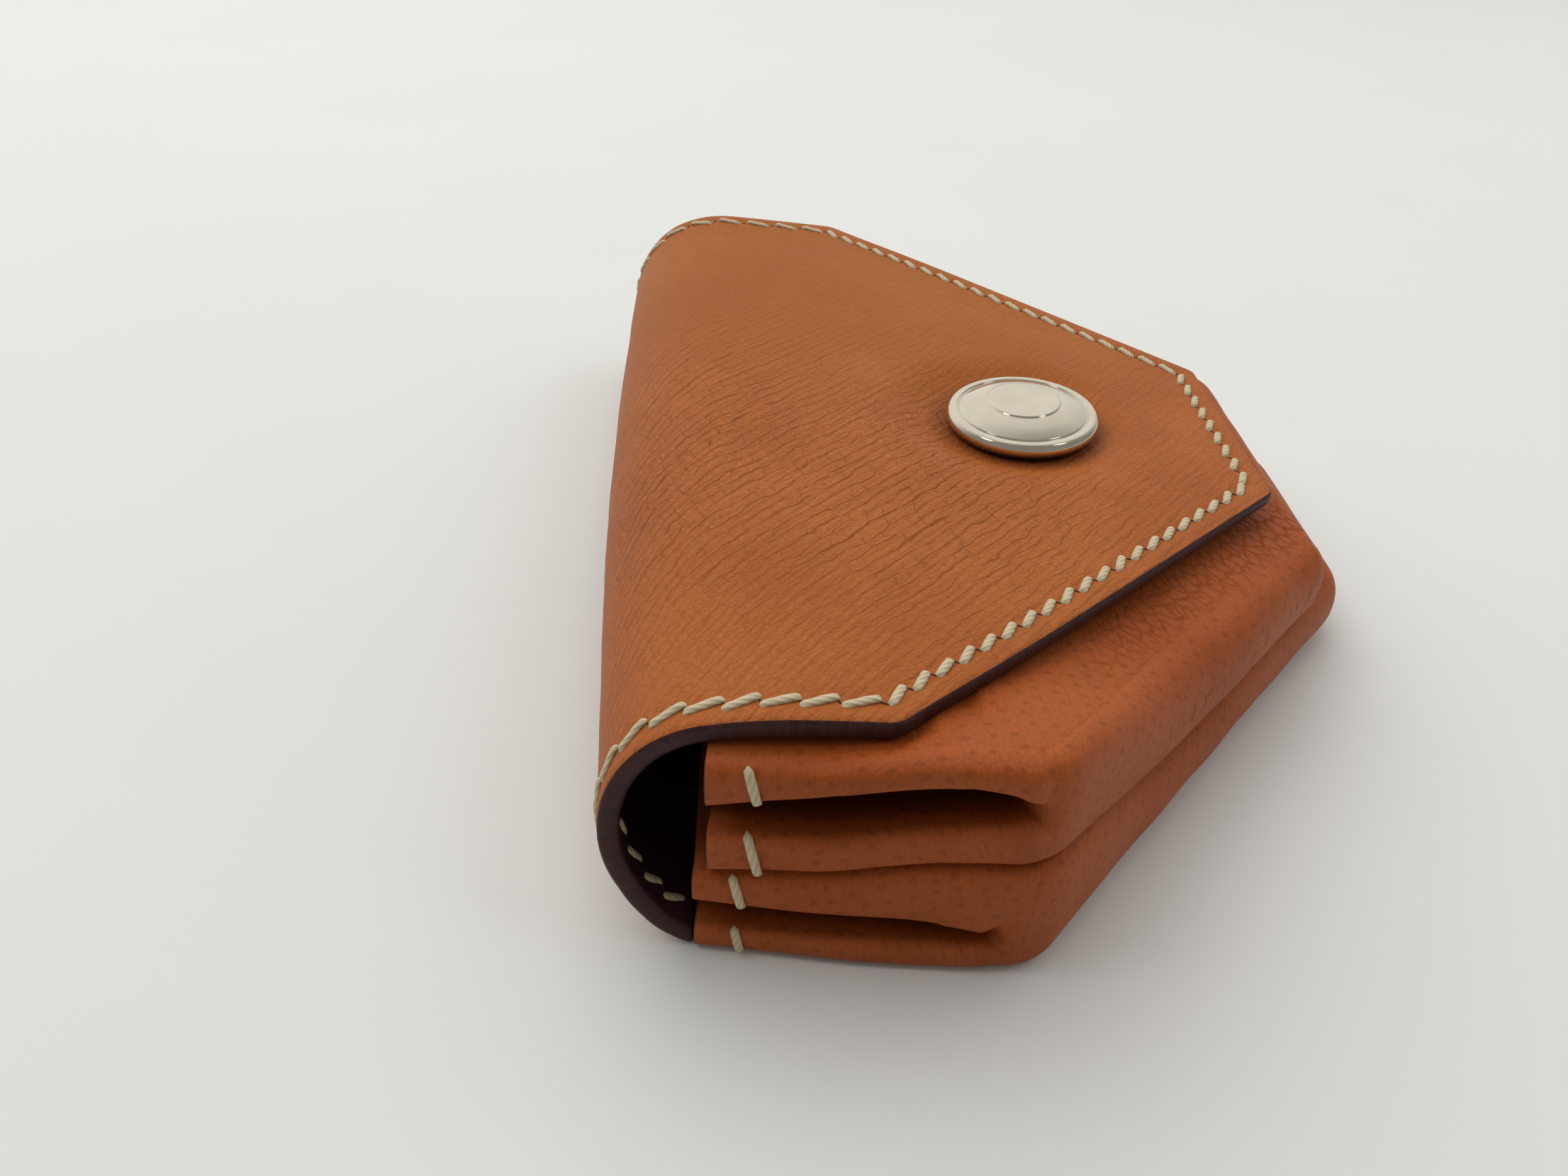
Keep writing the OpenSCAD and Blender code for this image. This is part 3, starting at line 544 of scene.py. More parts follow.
def thicken(mesh, thickness_at, rim_slot, inner_slot, bulge, plain=lambda co: False):
    """Turns an open surface into leather with a rounded edge, of the thickness that a place has. Where plain
    says so, the edge is cut flat."""
    bm = bmesh.new()
    bm.from_mesh(mesh)
    bm.normal_update()
    uv = bm.loops.layers.uv.active
    outer, faces = list(bm.verts), list(bm.faces)
    rim = [e for e in bm.edges if e.is_boundary]
    depth = {v: thickness_at(v.co) * MM for v in outer}
    inner = {v: bm.verts.new(v.co - v.normal * depth[v]) for v in outer}
    rows = {}
    for v, away in rim_directions(rim).items():
        away = away.normalized() * (0.0 if plain(v.co) else bulge) * MM
        between = [bm.verts.new(v.co - v.normal * depth[v] * t + away * math.sqrt(4 * t * (1 - t)))
                   for t in RIM_STEPS]
        rows[v] = [v, *between, inner[v]]
    for f in faces:
        made = bm.faces.new([inner[v] for v in reversed(f.verts)])
        made.material_index = inner_slot
        made.smooth = True
        for loop, old in zip(made.loops, reversed(list(f.loops))):
            loop[uv].uv = old[uv].uv
    bands = len(RIM_STEPS) + 1
    for e in rim:
        loop = e.link_loops[0]
        a, b = loop.vert, loop.link_loop_next.vert
        flat = plain(a.co) and plain(b.co)
        start, stop = loop[uv].uv.copy(), loop.link_loop_next[uv].uv.copy()
        for k in range(bands):
            made = bm.faces.new([rows[b][k], rows[a][k], rows[a][k + 1], rows[b][k + 1]])
            made.material_index = rim_slot
            made.smooth = not flat
            down = k / bands * depth[a] / MM / UV_MM
            for corner, at, deep in zip(made.loops, (stop, start, start, stop), (0, 0, 1, 1)):
                corner[uv].uv = at + Vector((down + deep * RIM_UV, 0))
    bm.to_mesh(mesh)
    bm.free()
    mesh.update()


def add(name, mesh, materials):
    for m in materials:
        mesh.materials.append(m)
    obj = bpy.data.objects.new(name, mesh)
    bpy.context.scene.collection.objects.link(obj)
    return obj


# Materials

class Shader:
    """The nodes of a material or of the sky."""

    def __init__(self, owner):
        owner.use_nodes = True
        self.owner, self.tree = owner, owner.node_tree

    def feed(self, socket, value):
        """Sets an input to a value, or links another node's output to it."""
        if isinstance(value, bpy.types.NodeSocket):
            self.tree.links.new(value, socket)
        else:
            socket.default_value = (*value, 1) if socket.type == "RGBA" else value

    def node(self, kind, inputs=(), **settings):
        n = self.tree.nodes.new(kind)
        for key, value in settings.items():
            setattr(n, key, value)
        for key, value in dict(inputs).items():
            self.feed(n.inputs[key], value)
        return n

    def math(self, operation, *values, clamp=False):
        return self.node("ShaderNodeMath", enumerate(values), operation=operation, use_clamp=clamp).outputs[0]

    def times(self, first, *others):
        for other in others:
            first = self.math("MULTIPLY", first, other)
        return first

    def plus(self, a, b):
        return self.math("ADD", a, b)

    def minus(self, a, b):
        return self.math("SUBTRACT", a, b)

    def most(self, a, b):
        return self.math("MAXIMUM", a, b)

    def vector(self, operation, *values):
        return self.node("ShaderNodeVectorMath", enumerate(values), operation=operation).outputs

    def map(self, value, a, b, low=0.0, high=1.0):
        ends = {"Value": value, "From Min": a, "From Max": b, "To Min": low, "To Max": high}
        return self.node("ShaderNodeMapRange", ends, interpolation_type="SMOOTHSTEP").outputs["Result"]

    def mix(self, factor, a, b):
        return self.node("ShaderNodeMix", {0: factor, 6: a, 7: b}, data_type="RGBA").outputs[2]

    def tint(self, color, factor, share, other):
        return self.mix(self.times(factor, share), color, other)

    def flat_place(self):
        """Millimetres on the leather laid flat."""
        uv = self.node("ShaderNodeUVMap", uv_map="UVMap").outputs[0]
        return self.node("ShaderNodeMapping", {0: uv, "Scale": (UV_MM, UV_MM, UV_MM)}).outputs[0]

    def turned(self, place, degrees, scale):
        turn = {0: place, "Rotation": (0, 0, math.radians(degrees))}
        turn = self.node("ShaderNodeMapping", turn).outputs[0]
        return self.node("ShaderNodeMapping", {0: turn, "Scale": scale}).outputs[0]

    def part(self, place, axis):
        return self.node("ShaderNodeSeparateXYZ", {0: place}).outputs[axis]

    def attribute(self, name):
        return self.node("ShaderNodeAttribute", attribute_name=name).outputs["Fac"]

    def coordinates(self, kind):
        return self.node("ShaderNodeTexCoord").outputs[kind]

    def noise(self, place, scale, detail=3.0, roughness=0.55, output="Fac"):
        values = {"Vector": place, "Scale": scale, "Detail": detail, "Roughness": roughness}
        return self.node("ShaderNodeTexNoise", values, noise_dimensions="3D").outputs[output]

    def patches(self, place, degrees, scale, a, b):
        """Soft patches that are stretched along a direction, from 0 to 1."""
        return self.map(self.noise(self.turned(place, degrees, scale), 1.0, 2.0), a, b)

    def cells(self, place, feature, randomness=1.0):
        values = {"Vector": place, "Scale": 1, "Randomness": randomness}
        n = self.node("ShaderNodeTexVoronoi", values, voronoi_dimensions="2D", feature=feature)
        return n.outputs["Distance"]

    def bands(self, place, degrees, period, wobble):
        """Wavering parallel lines, from -1 to 1."""
        across = self.part(self.turned(place, degrees, (1, 1, 1)), "Y")
        waver = self.noise(self.turned(place, degrees, (0.22, 0.40, 1)), 1.0, 2.5)
        phase = self.times(across, 2 * math.pi / period)
        return self.math("SINE", self.plus(phase, self.times(waver, wobble)))

    def shaken(self, place, scale, amount):
        shake = self.vector("SUBTRACT", self.noise(place, scale, 2.0, output="Color"), (0.5, 0.5, 0.5))[0]
        by = self.node("ShaderNodeVectorMath", {0: shake, "Scale": amount}, operation="SCALE").outputs[0]
        return self.vector("ADD", place, by)[0]

    def near(self, place, centre, inner, outer):
        return self.map(self.vector("DISTANCE", place, centre)["Value"], inner, outer, 1.0, 0.0)

    def surface(self, color, roughness, specular=0.5, metallic=0.0):
        bsdf = self.tree.nodes["Principled BSDF"]
        for key, value in (("Base Color", color), ("Roughness", roughness),
                           ("Specular IOR Level", specular), ("Metallic", metallic)):
            self.feed(bsdf.inputs[key], value)

    def bump(self, height, strength, distance):
        n = self.node("ShaderNodeBump", {"Height": height, "Strength": strength, "Distance": distance})
        self.feed(self.tree.nodes["Principled BSDF"].inputs["Normal"], n.outputs[0])


def new_material(name):
    return Shader(bpy.data.materials.new(name))


def scaled(color, k):
    return tuple(k * c for c in color)


# The leather's look: the angle of its lines to the spine, how dark its creases are, how deep creases and
# ribs are, how strong the relief and the gloss are, and its darker and lighter colours
SHELL_LOOK = {"angle": -43, "dark": 0.50, "crease": 1.15, "ribs": -0.48, "relief": 0.55, "gloss": 0.12,
              "darker": (0.375, 0.100, 0.020), "lighter": (0.425, 0.122, 0.026)}
POUCH_LOOK = {"angle": 4, "dark": 0.06, "crease": 0.25, "ribs": -0.06, "relief": 0.4, "gloss": 0.17,
              "darker": (0.350, 0.074, 0.013), "lighter": (0.390, 0.090, 0.018)}
RELIEF_HEIGHT = 0.00016
# Angle between the creases and the ticks that cross them
CROSSING = 62
# Spots on the shell laid flat, each a place and the distances at which it is full and gone
BENT = (((-12, 30, 0), 6, 34), ((-18, 52, 0), 4, 30))
RIBBED = ((-34, 40, 0), 26, 74)
# Where pale flecks show. They are partly rubbed wear and partly painted highlights on the grain
RUBBED_AND_GLINT_SPOTS = (((-4, 56, 0), 3, 26), ((-16, 30, 0), 3, 22))
FLECK_COLOR = (0.66, 0.31, 0.10)
# Stains, each a spot, a share and a colour. The last is painted shade: a dark ring in the hollow round the
# cap, where the cap's contact shadow falls
STAINS_AND_CAP_SHADE = ((((26, 40, 0), 3, 20), 0.40, (0.300, 0.060, 0.014)),
          (((38, 50, 0), 8, 56), 0.45, (0.360, 0.112, 0.008)),
          (((SNAP_X, SNAP_S, 0), 8.2, 10.6), 0.45, (0.12, 0.028, 0.007)))
# Painted shade: the colour that the pouches' leaves darken to deep in their folds, where little light reaches
PAINTED_FOLD_SHADE = (0.050, 0.010, 0.003)
# The flap's sloping edge at the near end: its outward direction, its distance, and that of the strip by it
FLAP_SIDE = Vector((FLAP_CORNER_D - FLAP_FRONT_D, FLAP_HALF - FLAP_FRONT_HALF, 0)).normalized()
FLAP_SIDE_AT = FLAP_SIDE.dot(Vector((-FLAP_HALF, FLAP_CORNER_D, 0)))
STRIP_AT = FLAP_SIDE_AT + 1.5


def pressed_lines(s, place, angle):
    """The leather's broken creases, and the ribs between them."""
    crossing = angle + CROSSING
    across = s.bands(place, crossing, 1.7, 10.0)
    along = s.map(s.bands(place, angle, 1.3, 10.0), 0.84, 1.0)
    along = s.times(along, s.patches(place, angle, (0.34, 0.6, 1), 0.28, 0.54))
    ticks = s.patches(place, crossing, (0.7, 0.5, 1), 0.44, 0.60)
    crease = s.most(along, s.times(s.map(across, 0.86, 1.0), ticks, 0.55))
    ribs = s.plus(s.bands(place, angle + 4, 1.0, 9.0), s.times(across, 0.7))
    return crease, s.times(ribs, s.patches(place, angle, (0.28, 0.70, 1), 0.34, 0.60))


def shell_marks(s, place, color):
    """Pale flecks, partly rubbed wear and partly painted highlights; stains; and a painted shade ring round
    the cap.
    """
    flecks = s.map(s.noise(place, 1.9, 6.0, 0.75), 0.575, 0.63)
    rubbed_and_glints = s.most(*(s.near(place, *spot) for spot in RUBBED_AND_GLINT_SPOTS))
    # Partly painted highlights: the pale flecks stand in for glints on the grain as well as rubbed wear
    color = s.tint(color, s.times(flecks, rubbed_and_glints), 0.50, FLECK_COLOR)
    # The last of these marks is painted shade round the cap
    for spot, share, mark_color in STAINS_AND_CAP_SHADE:
        color = s.tint(color, s.near(place, *spot), share, mark_color)
    return color


def pouch_marks(s, place, uneven, color, crease, darker):
    """Crackle beside the flap's edge, puckers where the wall turns under, and painted shade deep in the
    folds.
    """
    aside = s.minus(s.vector("DOT_PRODUCT", place, FLAP_SIDE)["Value"], STRIP_AT)
    beside = s.map(s.math("ABSOLUTE", aside), 1.0, 5.0, 1.0, 0.0)
    beside = s.times(beside, s.map(s.part(place, "Y"), 24, 40))
    crackle = s.cells(s.turned(uneven, 34, (0.50, 0.90, 1)), "DISTANCE_TO_EDGE")
    crackle = s.times(s.map(crackle, 0.0, 0.20, 1.0, 0.0), beside)
    color = s.tint(color, crackle, 0.30, scaled(darker, 0.34))
    dents = s.map(s.noise(s.turned(place, 40, (0.7, 1.0, 1)), 0.85, 1.0), 0.53, 0.66)
    dents = s.times(dents, s.attribute("pucker"))
    color = s.tint(color, dents, 0.32, scaled(darker, 0.42))
    crease = s.most(s.most(crease, s.times(crackle, 4.0)), s.times(dents, 1.6))
    # Painted shade: the deeper a place lies in a fold, the darker it is painted
    return s.mix(s.map(s.attribute("fold"), 0.4, 5.0, 0.0, 0.8), color, PAINTED_FOLD_SHADE), crease


def leather(name, look, on_shell):
    """Tan leather with pressed lines: worn and stained on the shell, with a painted shade ring round the cap,
    and puckered on the pouches, with painted shade in their folds.
    """
    s = new_material(name)
    place, angle, darker, lighter = s.flat_place(), look["angle"], look["darker"], look["lighter"]
    uneven = s.shaken(place, 0.45, 0.7)
    crease, ribs = pressed_lines(s, place, angle)
    pebble = s.map(s.cells(s.turned(uneven, angle, (1.15, 1.9, 1)), "DISTANCE_TO_EDGE", 0.85), 0.0, 0.22)
    dots = s.map(s.cells(s.turned(uneven, angle + 3, (0.62, 0.52, 1)), "F1", 0.45), 0.06, 0.27, 1.0, 0.0)
    mottle = s.noise(place, 0.5, 4.0)
    color = s.mix(s.map(s.noise(place, 0.055), 0.36, 0.66), darker, lighter)
    color = s.mix(s.map(mottle, 0.45, 0.8, 0.0, 0.30), color, scaled(lighter, 1.2))
    color = s.mix(s.map(pebble, 0.0, 1.0, 0.14, 0.0), color, scaled(darker, 0.5))
    if on_shell:
        bent = s.most(*(s.near(place, *spot) for spot in BENT))
        crease = s.times(crease, s.plus(s.times(bent, 0.72), 0.28))
        dots = s.times(dots, 0.25)
        ribs = s.times(ribs, s.near(place, *RIBBED))
    color = s.tint(color, crease, look["dark"], scaled(darker, 0.34))
    color = s.tint(color, dots, 0.32, scaled(darker, 0.38))
    if on_shell:
        color = shell_marks(s, place, color)
    else:
        color, crease = pouch_marks(s, place, uneven, color, crease, darker)
    rough = s.plus(s.times(mottle, 0.20), 0.40)
    s.surface(color, s.math("ADD", rough, s.times(crease, 0.12), clamp=True), look["gloss"])
    height = s.minus(s.times(pebble, 0.30), s.times(crease, look["crease"]))
    height = s.plus(height, s.times(ribs, look["ribs"]))
    height = s.minus(height, s.times(dots, 0.35))
    height = s.plus(height, s.times(s.noise(place, 3.0, 4.0), 0.20))
    s.bump(height, look["relief"], RELIEF_HEIGHT)
    return s.owner


def lining_material():
    s = new_material("lining_leather")
    place = s.flat_place()
    cells = s.map(s.cells(s.turned(place, 20, (1.1, 1.4, 1)), "DISTANCE_TO_EDGE"), 0, 0.2)
    tone = s.map(s.noise(place, 0.12, 4.0), 0.35, 0.7)
    color = s.mix(tone, (0.030, 0.008, 0.011), (0.050, 0.014, 0.018))
    s.surface(color, s.map(cells, 0, 1, 0.62, 0.5), 0.3)
    s.bump(s.plus(cells, s.noise(place, 2.0)), 0.35, 0.00008)
    return s.owner


def edge_material():
    s = new_material("painted_edge")
    streak = s.noise(s.turned(s.flat_place(), 0, (0.5, 3, 1)), 0.6, 4.0)
    color = s.mix(s.map(streak, 0.35, 0.7), (0.034, 0.010, 0.011), (0.062, 0.019, 0.020))
    s.surface(color, s.map(streak, 0.3, 0.7, 0.46, 0.62), 0.25)
    s.bump(streak, 0.25, 0.00006)
    return s.owner


def thread_material():
    s = new_material("waxed_thread")
    place = s.flat_place()
    twist = {"Vector": place, "Scale": 1.1, "Distortion": 0.8}
    lay = s.node("ShaderNodeTexWave", twist, wave_type="BANDS", bands_direction="DIAGONAL").outputs["Fac"]
    color = s.mix(s.map(lay, 0.2, 0.9), (0.50, 0.41, 0.25), (0.62, 0.53, 0.35))
    color = s.mix(s.map(s.noise(place, 0.9), 0.5, 0.8, 0.0, 0.5), color, (0.46, 0.35, 0.19))
    s.surface(color, s.map(lay, 0, 1, 0.72, 0.55))
    s.bump(lay, 0.5, 0.00006)
    return s.owner


def hole_shade_material():
    s = new_material("stitch_hole_shade")
    # Painted shade: the dark inside of a stitch hole
    depth = s.noise(s.flat_place(), 3.0, 2.0)
    s.surface(s.mix(depth, (0.020, 0.006, 0.003), (0.060, 0.018, 0.008)), s.map(depth, 0.3, 0.7, 0.7, 0.9))
    return s.owner


# Heights, in metres, between which the cap's dark foot fades. The foot is painted shade: it darkens what the
# cap's lower side reflects.
FOOT_LOW, FOOT_HIGH = 0.0198, 0.0207


def metal_material(name, shade, shaded_foot):
    s = new_material(name)
    where = s.coordinates("Object")
    marks = s.noise(s.turned(where, 25, (900, 9000, 900)), 1.0, 5.0, 0.7)
    haze = s.noise(where, 300.0, 4.0)
    color = s.mix(s.map(haze, 0.35, 0.7), shade, scaled(shade, 0.93))
    if shaded_foot:
        # Painted shade: the cap is painted dark below the foot's heights, as if its lower side reflected
        # shaded leather
        color = s.mix(s.map(s.part(where, "Z"), FOOT_LOW, FOOT_HIGH, 0.9, 0.0), color, (0.12, 0.07, 0.045))
    s.surface(color, s.plus(s.times(haze, 0.09), s.map(marks, 0.55, 0.8, 0.05, 0.16)), metallic=1.0)
    s.bump(marks, 0.05, 0.00002)
    return s.owner


SHELL_LEATHER = leather("shell_leather", SHELL_LOOK, True)
POUCH_LEATHER = leather("pouch_leather", POUCH_LOOK, False)
LINING = lining_material()
EDGE = edge_material()
THREAD = thread_material()
HOLE_SHADE = hole_shade_material()
METAL = metal_material("polished_plating", (0.80, 0.735, 0.60), True)
INNER_METAL = metal_material("inner_plating", (0.74, 0.72, 0.66), False)


# Stitches

THREAD_W, THREAD_H, THREAD_SIDES, THREAD_RINGS = 0.78, 0.56, 10, 13
# How far a stitch stands up in its middle, and how far its ends dive
THREAD_LIFT, THREAD_DIVE = 0.10, 0.34
SLIT_L, SLIT_W, SLIT_SIDES = 1.35, 0.2, 10
STITCH_SLANT, MOUTH_SLANT = math.radians(22), math.radians(14)
TABLE_CLEAR = 0.4
MOUTH_ROWS = 14


def thread_body(place, along, out, slant, length):
    """One stitch: a twisted thread whose ends go down into the leather, as rings of points."""
    a = np.linspace(-1, 1, THREAD_RINGS)[:, None]
    theta = np.linspace(0, 2 * math.pi, THREAD_SIDES + 1)[None, :-1]
    swell = np.sqrt(np.maximum(1 - np.abs(a) ** 8, 0.02)) * (1 + 0.05 * np.cos(2 * theta + 6.5 * a))
    side = THREAD_W / 2 * swell * np.cos(theta)
    rise = THREAD_H / 2 * swell * np.sin(theta) + THREAD_LIFT - THREAD_DIVE * np.abs(a) ** 7
    along = unit(along - out * (along @ out))
    run = along * math.cos(slant) + np.cross(out, along) * math.sin(slant)
    points = place + run * (a * length / 2)[..., None]
    points = points + np.cross(out, run) * side[..., None] + out * rise[..., None]
    return points, np.stack(np.broadcast_arrays(a * 1.1, theta * 0.37), -1)


def slit_body(place, along, out, side):
    """The slit that two stitches share, across their row, as a low lens painted dark with the shade inside
    the slit.
    """
    along = unit(along - out * (along @ out))
    cut = unit(along * 0.45 - np.cross(out, along) * 0.89 * side)
    theta = np.linspace(0, 2 * math.pi, SLIT_SIDES + 1)[:-1, None]
    ring = cut * SLIT_L / 2 * np.cos(theta) + np.cross(out, cut) * SLIT_W / 2 * np.sin(theta)
    points = place + np.stack([ring * 0.5 - out * 0.12, ring, ring * 0.6 + out * 0.075])
    return points, np.zeros((3, SLIT_SIDES, 2))


def stitch_mesh(name, stitches, slits):
    """A row's threads, each (place, direction of the row, outward direction, slant, length), and its slits,
    each (place, direction of the row, outward direction, side that the stitches slant to)."""
    points, faces, slots, uvs = [], [], [], []
    count = 0
    for slot, bodies in enumerate(([thread_body(*t) for t in stitches], [slit_body(*t) for t in slits])):
        for body, uv in bodies:
            rings, sides = body.shape[:2]
            index = np.arange(rings * sides).reshape(rings, sides) + count
            turned = np.roll(index, -1, axis=1)
            quads = np.stack([index[:-1], turned[:-1], turned[1:], index[1:]], -1).reshape(-1, 4).tolist()
            faces += quads + [index[0].tolist(), index[-1, ::-1].tolist()]
            slots += [slot] * (len(quads) + 2)
            points.append(body.reshape(-1, 3))
            uvs.append(uv.reshape(-1, 2) + np.array([count * 0.013 % 7, 0]))
            count += rings * sides
    mesh = make_mesh(name, np.concatenate(points), np.concatenate(uvs), faces, slots)
    return clean(mesh, merge=False)


def sew(name, stitches, slits=()):
    return add(name, stitch_mesh(name, stitches, slits), [THREAD, HOLE_SHADE])


def spaced(path, pitch, shift):
    """Places along a path of points, a pitch apart, as an index in the path that is a real number."""
    total = run_length(path)
    n = max(1, int(total[-1] / pitch))
    return np.interp((np.arange(n) + shift) * total[-1] / n, total, np.arange(len(path)))


def at_index(path, t):
    i = np.clip(np.floor(t).astype(int), 0, len(path) - 2)
    return path[i] + (path[i + 1] - path[i]) * (t - i)[:, None]


def along_shell(run, pitch, sign, shift):
    """Places of a row on the shell: (s, x, place, direction of the row, outward direction)."""
    at = spaced(run, pitch, shift)
    for (x, s), (x2, s2) in zip(at_index(run, at), at_index(run, at + 1e-3)):
        x, x2 = x * sign, x2 * sign
        place, out = shell_at(s, x)
        ahead, _ = shell_at(s + (s2 - s) * 50, x + (x2 - x) * 50)
        yield float(s), float(x), place, ahead - place, out


def shell_stitches():
    """The row along the shell's edge, on both faces, and its slits: lists of (length along it, stitch)."""
    c, f = np.array([FLAP_HALF, flap_s(FLAP_CORNER_D)]), np.array([FLAP_FRONT_HALF, flap_s(FLAP_FRONT_D)])
    slope = unit(f - c)
    inner = c + left(slope) * STITCH_INSET
    corner = inner + slope * (FLAP_HALF - STITCH_INSET - inner[0]) / slope[0]
    tip = inner + slope * (f[1] - STITCH_INSET - inner[1]) / slope[1]
    side = np.linspace(arc_s(24), corner[1], 60)
    side = np.stack([half_width(np.minimum(side, arc_s(180))) - STITCH_INSET, side], -1)
    front = np.array([tip, tip * np.array([-1, 1])])
    stitches, slits = [], []
    for sign in (-1, 1):
        for run in [side, np.array([corner, tip])] + ([front] if sign > 0 else []):
            pitch = SIDE_PITCH if run is side else STITCH_PITCH
            for s, x, place, ahead, out in along_shell(run, pitch, sign, 0.5):
                slant = STITCH_SLANT * sign * (1 + 0.25 * float(noise(s * 1.7, x * 1.3, 21)))
                stitches.append((s, (place + out * 0.02, ahead, out, slant, pitch * 1.08)))
                sunk = 0.35 if s > arc_s(165) else 0.2
                stitches.append((s, (place - out * (SHELL_T - sunk), ahead, -out, slant, pitch * 0.9)))
            for s, x, place, ahead, out in along_shell(run, pitch, sign, 0.0):
                slits.append((s, (place, ahead, out, sign)))
    return stitches, slits


def mouth_stitches(p, sign):
    """The stitches across the leaves of the pleated side, next to the mouth."""
    rows = pouch_stations(p, sign)[0][:MOUTH_ROWS]
    walls = [settle(wall_points(r, sign)) for r in rows]
    runs = np.array([np.linalg.norm(r[0] - rows[0][0]) for r in rows])

    def section_at(distance):
        k = int(np.clip(np.searchsorted(runs, distance) - 1, 0, MOUTH_ROWS - 2))
        return mixed(walls[k], walls[k + 1], (distance - runs[k]) / (runs[k + 1] - runs[k]))

    path, beside = section_at(MOUTH_INSET), section_at(MOUTH_INSET + 0.4)
    found = []
    for first, last in ((2, ROLL - 2), (len(path) - ROLL - 1, len(path) - 3)):
        top, low, middle = path[first].copy(), path[last].copy(), (first + last) // 2
        low[2] = max(low[2], TABLE_CLEAR)
        out = unit(np.cross(low - top, beside[middle] - path[middle])) * sign
        centre = (top + low) / 2
        place = centre + out * ((path[middle] - centre) @ out)
        found.append((place, low - top, out, MOUTH_SLANT * sign, 1.1 * np.linalg.norm(low - top)))
    return found


def flat_row(half, place_at):
    """A row of stitches along a mouth, on a panel that lies flat."""
    n = int(2 * half / STITCH_PITCH)
    xs = (np.arange(n) + 0.5) / n * 2 * half - half
    return [(place_at(x), np.array([1.0, 0, 0]), UP, MOUTH_SLANT, STITCH_PITCH * 0.95) for x in xs]


# The shell in two pieces, which meet at the middle of the spine

SHELL_COLUMNS, BACK_ROWS, FLAP_ROWS = 151, 34, 124
# Length of the close rows at the seam and at the front edge
SEAM_STEP, FRONT_RUN, FRONT_STEP = 0.06, 2.6, 0.05
# The hole for the cap's post: half its width and the reach of its bent rows, in faces, radius and spread
HOLE_FACES, HOLE_REACH, HOLE_R, HOLE_SPREAD = 5, 12, 4.0, 0.75
# Distances from the seam and from the stud within which the leather is cut flat
SEAM_NEAR, HOLE_NEAR, SEAM_POINTS = 0.3, 6.0, 400


def back_lines():
    """Where the back's rows of points lie, close together at the seam."""
    rows = np.linspace(EDGE_BULGE, SEAM_S, BACK_ROWS)
    return np.concatenate([rows[:-1], [SEAM_S - SEAM_STEP, SEAM_S]])


def flap_lines():
    """Where the flap's rows of points lie, close together at the seam and at the front edge."""
    end = flap_s(FLAP_FRONT_D) - EDGE_BULGE
    rows = np.linspace(SEAM_S, flap_s(FLAP_FRONT_D), FLAP_ROWS)[1:-8]
    closing = np.linspace(rows[-1], end - FRONT_RUN, 9)[1:]
    last = end - np.geomspace(FRONT_RUN, FRONT_STEP, 13)[1:]
    return np.concatenate([[SEAM_S, SEAM_S + SEAM_STEP], rows, closing, last, [end]])


def open_hole(x, s, rows):
    """Bends the grid round the cap's post, and says which of its faces lie in the hole."""
    i0 = int(np.argmin(np.abs(rows - SNAP_S)))
    j0 = int(np.argmin(np.abs(x[i0] - SNAP_X)))
    i, j = np.indices(x.shape)
    a, b = (j - j0) / HOLE_FACES, (i - i0) / HOLE_FACES
    ring, angle = np.maximum(np.abs(a), np.abs(b)), np.arctan2(b, a)
    radius = HOLE_R * (1 + (ring - 1) * HOLE_SPREAD)
    reach = HOLE_REACH / HOLE_FACES
    w = smooth((ring - 1) / (reach - 1))
    x = np.where(ring < reach, mixed(SNAP_X + radius * np.cos(angle), x, w), x)
    s = np.where(ring < reach, mixed(SNAP_S + radius * np.sin(angle), s, w), s)
    corners = np.stack([ring[:-1, :-1], ring[1:, 1:], ring[:-1, 1:], ring[1:, :-1]])
    return x, s, corners.max(0) <= 1


def shell_piece(name, rows, test_s, outward, opened):
    """A part of the shell with its lining. Its outer face at test_s points outward."""
    width = half_width(np.minimum(rows, flap_s(FLAP_FRONT_D) - 0.02)) - EDGE_BULGE
    x = width[:, None] * np.linspace(-1, 1, SHELL_COLUMNS)[None, :]
    s = np.broadcast_to(rows[:, None], x.shape)
    skip = None
    if opened:
        x, s, skip = open_hole(x, s, rows)
    skin = Skin()
    skin.grid(shell_at(s, x)[0], np.stack([x, s], -1), skip)
    mesh = clean(skin.mesh(name), (world(shell_at(test_s, 0.0)[0]), outward))
    across = np.linspace(-FLAP_HALF, FLAP_HALF, SEAM_POINTS)
    seam = world(shell_at(np.full(SEAM_POINTS, SEAM_S), across)[0])
    snap = world(shell_at(SNAP_S, SNAP_X)[0])

    def plain(co):
        p = np.array(co)
        at_seam = np.min(np.linalg.norm(seam - p, axis=1)) < SEAM_NEAR * MM
        return bool(at_seam or np.linalg.norm(p - snap) < HOLE_NEAR * MM)

    thicken(mesh, shell_thickness, 1, 2, EDGE_BULGE, plain)
    return add(name, mesh, [SHELL_LEATHER, EDGE, LINING])


# The pouches

# How far apart the panels lie on the leather's map, and the rows over which a panel takes the front's form
PANELS_APART, FRONT_ROWS = 140, 9


def unrolled(wall, rows, x_sign):
    """Places on the wall's leather, laid flat outwards from the top's edge."""
    girth = np.cumsum(np.linalg.norm(np.diff(wall, axis=1), axis=2), axis=1)
    girth = np.concatenate([np.zeros((len(wall), 1)), girth], 1)
    out = np.array([-r[1] * np.array([x_sign, 1]) for r in rows])
    return wall[:, :1, :2] + out[:, None, :] * girth[..., None]


def pucker(p, wall):
    """How much the leather puckers where the wall turns under, from 0 to 1."""
    d, z = wall[..., 1], wall[..., 2]
    share = (z - floor_z(p, d)) / (ceil_z(p, d) - floor_z(p, d))
    return bell(share, 0.54, 0.13) * ramp(d, p["pocket"] + 6, p["pocket"] + 16) * p["puckers"]


